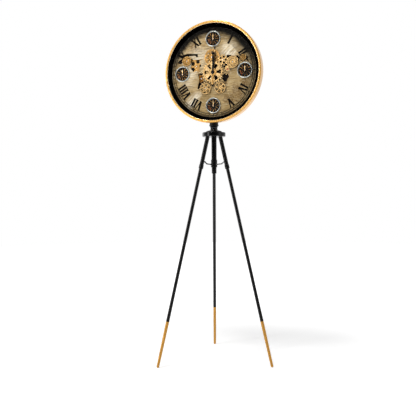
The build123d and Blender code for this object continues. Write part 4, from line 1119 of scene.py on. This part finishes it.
@dataclass
class SubDials:
    """Four small dials with silver rings, black faces, gilt marks and a leaf pointer each."""

    circle: float = 0.160
    base: float = 0.0060
    mark_length: float = 0.0115
    mark_width: float = 0.0022
    mark_middle: float = 0.0225
    mark_depth: float = 0.0004
    face_top: float = 0.0014
    tick_count: int = 12
    accent_turns: tuple[float, ...] = (105.0, 135.0)

    def build(self) -> None:
        """Builds and dresses the small dials."""
        rings = self.ring()
        fitted(self.spread(rings, "subdial_rings"), "drum", "silver", SILVER.material("subdial_silver"),
               "subdial_bezels")
        fitted(self.spread(self.face(), "subdial_plates"), "drum", "black_metal",
               FACE_BLACK.material("subdial_black"), "subdial_faces")
        fitted(self.spread(self.marks(), "subdial_marks"), "drum", "brass", OLD_BRONZE.material("subdial_gilt"))
        fitted(self.spread(self.accents(), "subdial_accents"), "drum", "print", EMBER.material("subdial_ember"))
        self.pointers()

    def spread(self, piece: Piece, name: str) -> Piece:
        """Copies a piece to all four places and joins the copies.

        Args:
            piece: The piece, modelled on the bench.
            name: Name of the result.

        Returns:
            The joined pieces.
        """
        copies = [Bench.placed(Bench.twin(piece), self.place(side), Facing.FRONT) for side in Side]
        bpy.data.objects.remove(piece)
        return Bench.joined(copies, name)

    def place(self, side: Side) -> tuple[float, float, float]:
        """Middle of a small dial, on the dial plate's front."""
        return at_dial(side.value[0] * self.circle, side.value[1] * self.circle, self.base)

    def ring(self) -> Piece:
        """Turns the stepped silver ring."""
        profile = [(0.0384, 0.0001), (0.0384, 0.0030), (0.0381, 0.0042), (0.0373, 0.0052), (0.0362, 0.0058),
                   (0.0352, 0.0058), (0.0345, 0.0054), (0.0342, 0.0046), (0.0335, 0.0043), (0.0329, 0.0039),
                   (0.0326, 0.0030), (0.0325, 0.0001)]
        ring = Bench.turned("ring", profile, 96, loop=True)
        return Bench.eased(ring, 0.0001, 1, 40)

    def face(self) -> Piece:
        """Turns the black face with its sunk rings and the pin that carries the pointer."""
        top = self.face_top
        profile = [(0, 0.0046), (0.0009, 0.0045), (0.0010, 0.0043), (0.0010, top), (0.0088, top),
                   (0.0090, top - 0.0002), (0.0096, top - 0.0002), (0.0098, top), (0.0296, top),
                   (0.0299, top + 0.0003), (0.0324, top + 0.0003), (0.0324, 0.0001), (0, 0.0001)]
        face = Bench.turned("face", profile, 72)
        Bench.take(face)
        bpy.ops.object.shade_smooth_by_angle(angle=radians(30))
        return face

    def marks(self) -> Piece:
        """Makes the gilt hour marks, the fine ticks and the inner ring."""
        bar = Bench.bar("bar", self.mark_width, self.mark_length, self.mark_depth, 0.35)
        bar = Bench.placed(bar, (0, self.mark_middle, self.face_top))
        hours = Bench.wheeled(bar, 12, "hours")
        tick = Bench.bar("tick", 0.0005, 0.0016, 0.0003)
        ticks = Bench.wheeled(Bench.placed(tick, (0, 0.0312, self.face_top + 0.0003)), self.tick_count, "ticks")
        top = self.face_top
        ring = Bench.turned("ring", [(0.0135, top), (0.0134, top + 0.0003), (0.0131, top + 0.0003),
                                     (0.0130, top)], 64, loop=True)
        return Bench.joined([hours, ticks, ring], "marks")

    def accents(self) -> Piece:
        """Makes the few red marks between the gilt ones."""
        marks = []
        for turn in self.accent_turns:
            bar = Bench.bar("accent", self.mark_width, self.mark_length * 0.7, self.mark_depth, 0.6)
            bar = Bench.placed(bar, (0, self.mark_middle - 0.001, self.face_top))
            marks.append(Bench.placed(bar, (0, 0, 0), turn=turn))
        return Bench.joined(marks, "accents")

    def pointers(self) -> None:
        """Gives each leaf pointer its gilt and its rose cap."""
        rose = ROSE.material("pointer_rose")
        for side in Side:
            label = side.name.lower()
            body = f"{label}_pointer"
            gilt = PALE_BRASS.material(f"{label}_pointer_gilt", self.place(side))
            fitted(Bench.softened(body, f"{label}_leaf", 0.00015, 1), body, "brass", gilt, body)
            cap = Bench.turned(f"{label}_cap", [(0, 0.0016), (0.0011, 0.0014), (0.0021, 0.0009), (0.0026, 0.0003),
                                                (0.0026, 0), (0, 0)], 32)
            Bench.eased(cap, 0.0001, 1, 50)
            place = Vector(self.place(side)) + Vector((0, -0.0042, 0))
            fitted(Bench.placed(cap, place, Facing.FRONT), body, "print", rose)


@dataclass(frozen=True)
class WheelSpec:
    """One wheel: where it turns and how it is finished."""

    across: float
    up: float
    finish: MetalFinish
    slot: str = "brass"


@dataclass
class WheelTrain:
    """The wheels in front of and behind the dial, their posts, the bridge and the round settings."""

    edge: float = 0.00028
    head_radius: float = 0.0031
    head_height: float = 0.0010

    def specs(self) -> dict[str, WheelSpec]:
        """Wheels by the name of their node, which is also their body's."""
        return {
            "centre_wheel": WheelSpec(0.0, 0.0, PALE_BRASS),
            "upper_wheel": WheelSpec(-0.005022, 0.071825, BRASS),
            "skeleton_wheel": WheelSpec(0.052315, 0.055129, PALE_BRASS),
            "right_barrel": WheelSpec(0.100589, 0.042103, PALE_BRASS),
            "small_pinion": WheelSpec(0.075556, 0.008208, PALE_BRASS),
            "left_wheel": WheelSpec(-0.087579, 0.034146, BRASS),
            "left_barrel": WheelSpec(-0.134625, 0.060654, BRASS),
            "lower_barrel": WheelSpec(-0.062687, -0.026351, OLD_BRONZE, "bronze"),
            "left_medallion": WheelSpec(-0.037700, -0.077296, PALE_BRASS),
            "right_medallion": WheelSpec(0.037700, -0.077296, PALE_BRASS),
        }

    def build(self) -> None:
        """Builds and dresses the wheelwork."""
        for name, spec in self.specs().items():
            wheel = Bench.softened(name, f"{name}_cut", self.edge)
            finish = spec.finish.material(f"{name}_metal", at_dial(spec.across, spec.up, 0))
            fitted(wheel, name, spec.slot, finish, name)
        self.fixed_parts()
        self.post_heads()
        self.pinion_jewel()

    def fixed_parts(self) -> None:
        """Dresses what holds the wheels."""
        brass = BRASS.material("fixture_brass")
        for node, name in (("train_bridge", "bridge_cut"), ("jewel_settings", "settings_cut")):
            fitted(Bench.softened(node, name, self.edge), "drum", "brass", brass, node)
        for node in ("hand_bushing", "dial_pillars"):
            dress(node, brass)
        dress("wheel_posts", STEEL.material("post_steel"))

    def post_heads(self) -> None:
        """Puts a slotted head on the post of each wheel that has one."""
        heads = []
        for number, (name, spec) in enumerate(self.specs().items()):
            if name in ("centre_wheel", "right_medallion", "small_pinion"):
                continue
            tip = tip_depth("wheel_posts", spec.across, spec.up, 0.004)
            head = slotted_head("head", self.head_radius, self.head_height)
            place = at_dial(spec.across, spec.up, tip - self.head_height + 0.0002)
            heads.append(Bench.placed(head, place, Facing.FRONT, 37.0 * number))
        fitted(Bench.joined(heads, "post_heads"), "drum", "steel", STEEL.material("head_steel"))

    def pinion_jewel(self) -> None:
        """Sets the red jewel on the pinion's post, in its gilt ring."""
        spec = self.specs()["small_pinion"]
        tip = tip_depth("wheel_posts", spec.across, spec.up, 0.004)
        place = at_dial(spec.across, spec.up, tip - 0.0008)
        ring = Bench.turned("jewel_ring", [(0.0050, 0), (0.0049, 0.0007), (0.0044, 0.0010), (0.0039, 0.0007),
                                           (0.0038, 0)], 40, loop=True)
        Bench.eased(ring, 0.0001, 1, 40)
        fitted(Bench.placed(ring, place, Facing.FRONT), "drum", "brass", PALE_BRASS.material("jewel_gilt", place))
        stone = Bench.turned("pinion_stone", [(0, 0.0014), (0.0012, 0.00135), (0.0024, 0.0011), (0.0034, 0.0007),
                                              (0.0038, 0.0002), (0.0038, 0.00005), (0, 0.00005)], 40)
        Bench.eased(stone, 0.00005, 1, 50)
        fitted(Bench.placed(stone, place, Facing.FRONT), "drum", "brass", RUBY.material("pinion_ruby"))


@dataclass
class Hands:
    """Black spade hour hand and the minute hand, whose slim shaft carries a painted glint where it meets its black
    spade.
    """

    edge: float = 0.00015
    shaft_start: float = 0.096
    shaft_end: float = 0.105
    drop_up: float = -0.0655
    drop_depth: float = 0.0152

    def build(self) -> None:
        """Builds and dresses the hands."""
        black = HAND_BLACK.material("hand_black")
        # Painted highlight: gilt stands for the glint on the minute hand's shaft.
        bright = PALE_BRASS.material("hand_glint", at_dial(0, 0, 0))
        hour = Bench.softened("hour_hand", "hour_spade", self.edge, 1)
        fitted(hour, "hour_hand", "black_metal", black, "hour_hand")
        minute = self.with_painted_glint(Bench.softened("minute_hand", "minute_spade", self.edge, 1), black, bright)
        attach(minute, "minute_hand")
        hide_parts("minute_hand")
        self.drop(black)

    def with_painted_glint(self, hand: Piece, black: bpy.types.Material, gilt: bpy.types.Material) -> Piece:
        """Leaves a hand black and paints a gilt glint on the end of its shaft.

        Args:
            hand: The hand.
            black: Finish of the spade.
            gilt: Finish of the painted glint on the shaft.

        Returns:
            The hand.
        """
        middle = Vector((0, 0, HEAD_HEIGHT))
        tip = max((v.co for v in hand.data.vertices), key=lambda place: (place - middle).length) - middle
        along = Vector((tip.x, 0, tip.z)).normalized()
        Bench.edit(hand)
        for place in (self.shaft_start, self.shaft_end):
            bpy.ops.mesh.select_all(action="SELECT")
            bpy.ops.mesh.bisect(plane_co=middle + along * place, plane_no=along)
        Bench.close()
        hand.data.materials.clear()
        for material in (black, gilt):
            hand.data.materials.append(material)
        for face in hand.data.polygons:
            ends = [(hand.data.vertices[n].co - middle).dot(along) for n in face.vertices]
            face.material_index = int(self.shaft_start + 0.0001 < sum(ends) / len(ends) < self.shaft_end - 0.0001)
        return hand

    def drop(self, black: bpy.types.Material) -> None:
        """Makes the black drop at the lower end of the bridge's bar."""
        drop = Bench.turned("bridge_drop", [(0, 0.0014), (0.0020, 0.0012), (0.0036, 0.0006), (0.0038, 0.0),
                                            (0.0, 0.0)], 32)
        Bench.eased(drop, 0.0001, 1, 50)
        Bench.take(drop)
        bpy.ops.transform.resize(value=(1, 1.6, 1))
        bpy.ops.object.transform_apply(location=False, rotation=False, scale=True)
        place = at_dial(-0.0005, self.drop_up, self.drop_depth)
        fitted(Bench.placed(drop, place, Facing.FRONT), "drum", "black_metal", black)


@dataclass
class Works:
    """Plates, brackets and clock works behind the dial, and the plate that closes the drum."""

    knob_radius: float = 0.00745
    knob_front: float = 0.0040
    knob_back: float = 0.0263
    ridge: float = 0.0004
    knob_up: float = 0.012
    ridge_count: int = 30

    def build(self) -> None:
        """Builds and dresses the works."""
        plastic = PLASTIC.material("works_plastic")
        steel = STEEL.material("works_steel")
        plate = PLATE_BLACK.material("plate_black")
        for node in ("quartz_movement", "motor_box"):
            fitted(Bench.softened(node, f"{node}_case", 0.0005), "drum", "black_plastic", plastic, node)
        dress("movement_plate", WORKS_BLACK.material("movement_black"))
        dress("back_plate", plate)
        dress("shell_brackets", steel)
        dress("back_screws", steel)
        dress("aa_cells", CellFinish().material("cell_sleeve"))
        self.set_knob(plastic)

    def set_knob(self, plastic: bpy.types.Material) -> None:
        """Makes the ridged knob that sets the time."""
        radius, deep = self.knob_radius, self.knob_front
        knob = Bench.turned("set_knob", [(0, deep), (radius * 0.5, deep), (radius * 0.55, deep - 0.0004),
                                         (radius * 0.85, deep - 0.0004), (radius, deep - 0.001), (radius, 0.0006),
                                         (radius * 0.9, 0), (0, 0)], 2 * self.ridge_count)
        Bench.pick_faces(knob, lambda middle, normal: (
            normal.xy.length > 0.95 and int((normal.xy.angle_signed(Vector((1, 0))) + pi) / pi * self.ridge_count) % 2))
        bpy.ops.mesh.extrude_region_shrink_fatten(TRANSFORM_OT_shrink_fatten={"value": -self.ridge})
        Bench.close()
        stem = Bench.turned("stem", [(0.0019, -0.0050), (0.0019, 0.0002), (0, 0.0002)], 24)
        knob = Bench.joined([knob, stem], "set_knob")
        bpy.ops.object.shade_smooth_by_angle(angle=radians(30))
        place = (0, self.knob_back - deep, HEAD_HEIGHT + self.knob_up)
        fitted(Bench.placed(knob, place, Facing.BACK), "time_set_knob", "black_plastic", plastic, "time_set_knob")


@dataclass
class Stand:
    """Neck, hub, centre column and its sleeve, which carry the drum and the legs."""

    hub_edge: float = 0.0008
    edge: float = 0.0004

    def build(self) -> None:
        """Builds and dresses the stand."""
        black = STAND_BLACK.material("stand_black")
        steel = STEEL.material("stand_steel")
        dress("neck", black)
        dress("neck_bolt", steel)
        fitted(Bench.softened("neck_saddle", "saddle_plate", self.edge), "drum", "black_paint", black, "neck_saddle")
        for node, name, edge in (("tripod_hub", "hub_cut", self.hub_edge), ("centre_column", "column_tube", self.edge),
                                 ("brace_sleeve", "sleeve_cut", self.edge)):
            fitted(Bench.softened(node, name, edge), "stand", "black_paint", black, node)
        dress("hinge_pins", steel)


@dataclass
class Leg:
    """One folding leg: its black tubes, its gold foot and the two links of its brace."""

    number: int
    tube_edge: float = 0.0004
    foot_edge: float = 0.0002
    link_edge: float = 0.0002

    def build(self, black: bpy.types.Material, gold: bpy.types.Material) -> None:
        """Builds and dresses the leg.

        Args:
            black: Finish of the tubes and links.
            gold: Finish of the foot.
        """
        n = self.number
        body = f"leg_{n}"
        fitted(Bench.softened(f"leg_upper_{n}", f"upper_tube_{n}", self.tube_edge), body, "black_paint", black,
               f"leg_upper_{n}")
        dress(f"leg_lower_{n}", black)
        fitted(Bench.softened(f"leg_foot_{n}", f"foot_{n}", self.foot_edge), body, "gold_paint", gold, f"leg_foot_{n}")
        for link in ("brace_outer", "brace_inner"):
            node = f"{link}_{n}"
            fitted(Bench.softened(node, f"{node}_link", self.link_edge), node, "steel", black, node)


# Studio


@dataclass
class Studio:
    """Pale floor, soft lamps and the camera at the photograph's angle."""

    azimuth: float = 20.0
    distance: float = 3.137
    height: float = 0.828
    pitch: float = -1.62
    roll: float = -0.25
    lens: float = 55.84
    shift: float = -0.0151
    floor_radius: float = 7.0
    ambient: float = 0.35
    front_dimming: float = 0.96

    def build(self) -> None:
        """Sets up floor, lamps, world and camera."""
        self.floor()
        self.world()
        self.lamps()
        self.camera()

    @staticmethod
    def seen(wiring: Wiring) -> Socket:
        """Says 1 to rays that show the background: from the camera, off gloss and through glass."""
        path = wiring.add("ShaderNodeLightPath").outputs
        near = wiring.sum("MAXIMUM", path["Is Camera Ray"], path["Is Glossy Ray"])
        return wiring.sum("MAXIMUM", near, path["Is Transmission Ray"])

    def floor(self) -> None:
        """Lays the pale floor, which keeps the clock's shadow."""
        Bench.clear()
        bpy.ops.mesh.primitive_circle_add(vertices=96, radius=self.floor_radius, fill_type="NGON")
        floor = bpy.context.object
        floor.name = "floor"
        material, wiring = blank_material("pale_floor")
        flat = wiring.add("ShaderNodeVectorMath", {0: wiring.spot(), 1: (1, 1, 0)}, operation="MULTIPLY").outputs[0]
        far = wiring.add("ShaderNodeVectorMath", {0: flat}, operation="LENGTH").outputs["Value"]
        glow = wiring.between(wiring.fade(far, 0.45, 2.2), 0.4, 1.0)
        shader = wiring.add("ShaderNodeBsdfPrincipled", {
            "Base Color": tone("F2F2F2"), "Roughness": 0.9, "Specular IOR Level": 0.0,
            "Emission Color": (1.0, 1.0, 1.0), "Emission Strength": wiring.sum("MULTIPLY", self.seen(wiring), glow)})
        close_material(wiring, shader.outputs[0])
        floor.data.materials.append(material)

    def world(self) -> None:
        """Makes the white background and the even light from all round."""
        world = bpy.data.worlds.new("studio_world")
        bpy.context.scene.world = world
        world.use_nodes = True
        world.node_tree.nodes.clear()
        wiring = Wiring(world.node_tree)
        heading = wiring.add("ShaderNodeSeparateXYZ", {0: wiring.add("ShaderNodeTexCoord").outputs["Generated"]})
        front = wiring.fade(wiring.sum("MULTIPLY", heading.outputs["Y"], -1.0), 0.1, 0.75)
        path = wiring.add("ShaderNodeLightPath").outputs
        dim = wiring.sum("MULTIPLY", wiring.sum("MULTIPLY", front, path["Is Glossy Ray"]), self.front_dimming)
        bright = wiring.sum("SUBTRACT", 1.0, dim)
        light = wiring.add("ShaderNodeMix", {0: self.seen(wiring), 2: self.ambient, 3: bright})
        strength = light.outputs[0]
        sky = wiring.add("ShaderNodeBackground", {"Color": (1.0, 1.0, 1.0), "Strength": strength})
        wiring.add("ShaderNodeOutputWorld", {"Surface": sky.outputs[0]})

    @staticmethod
    def lamp(name: str, spot: Sequence[float], aim: Sequence[float], size: tuple[float, float], power: float) -> None:
        """Hangs one soft box.

        Args:
            name: Name of the lamp.
            spot: Where it hangs.
            aim: Where it points.
            size: Its width and height.
            power: Its power in watts.
        """
        data = bpy.data.lights.new(name, "AREA")
        data.shape = "RECTANGLE"
        data.size, data.size_y = size
        data.energy = power
        lamp = bpy.data.objects.new(name, data)
        bpy.context.scene.collection.objects.link(lamp)
        lamp.location = spot
        lamp.rotation_euler = (Vector(aim) - Vector(spot)).to_track_quat("-Z", "Y").to_euler()

    def lamps(self) -> None:
        """Hangs the key above the front and a strip at each side."""
        head = (0, 0, HEAD_HEIGHT)
        self.lamp("key", (-0.25, -0.75, 3.0), head, (0.5, 0.4), 21)
        self.lamp("front", (1.2, -3.2, 1.9), (0, 0, 1.0), (1.6, 1.6), 8)
        bpy.data.objects["front"].visible_glossy = False
        self.lamp("left_strip", (-1.54, -1.97, 1.2), (0, 0, 1.1), (0.35, 2.0), 27)
        self.lamp("right_strip", (2.17, -0.38, 1.3), (0, 0, 1.2), (0.6, 1.6), 3)
        self.lamp("wheel_light", (-0.87, -2.4, 2.0), head, (0.7, 0.55), 4.4)
        self.lamp("rim_strip", (-2.2, 0.6, 1.6), head, (0.5, 1.4), 9)

    def camera(self) -> None:
        """Stands the camera where the photograph was taken from."""
        data = bpy.data.cameras.new("camera")
        data.lens = self.lens
        data.shift_x = self.shift
        camera = bpy.data.objects.new("camera", data)
        bpy.context.scene.collection.objects.link(camera)
        turn = radians(self.azimuth)
        camera.location = (self.distance * sin(turn), -self.distance * cos(turn), self.height)
        tilt = Matrix.Rotation(radians(90 + self.pitch), 3, "X") @ Matrix.Rotation(radians(self.roll), 3, "Z")
        camera.rotation_euler = (Matrix.Rotation(turn, 3, "Z") @ tilt).to_euler()
        bpy.context.scene.camera = camera


def main() -> None:
    """Builds the clock and its studio."""
    logging.basicConfig(level=logging.INFO, format="%(name)s: %(message)s")
    bpy.context.scene.view_settings.view_transform = "Standard"
    for assembly in (Hoop(), DialFace(), SubDials(), WheelTrain(), Hands(), Works(), Stand()):
        assembly.build()
        log.info("built %s", type(assembly).__name__)
    black = STAND_BLACK.material("leg_black")
    gold = FOOT_GOLD.material("foot_gold")
    for number in (1, 2, 3):
        Leg(number).build(black, gold)
    Studio().build()
    Bench.clear()


if __name__ == "__main__":
    main()
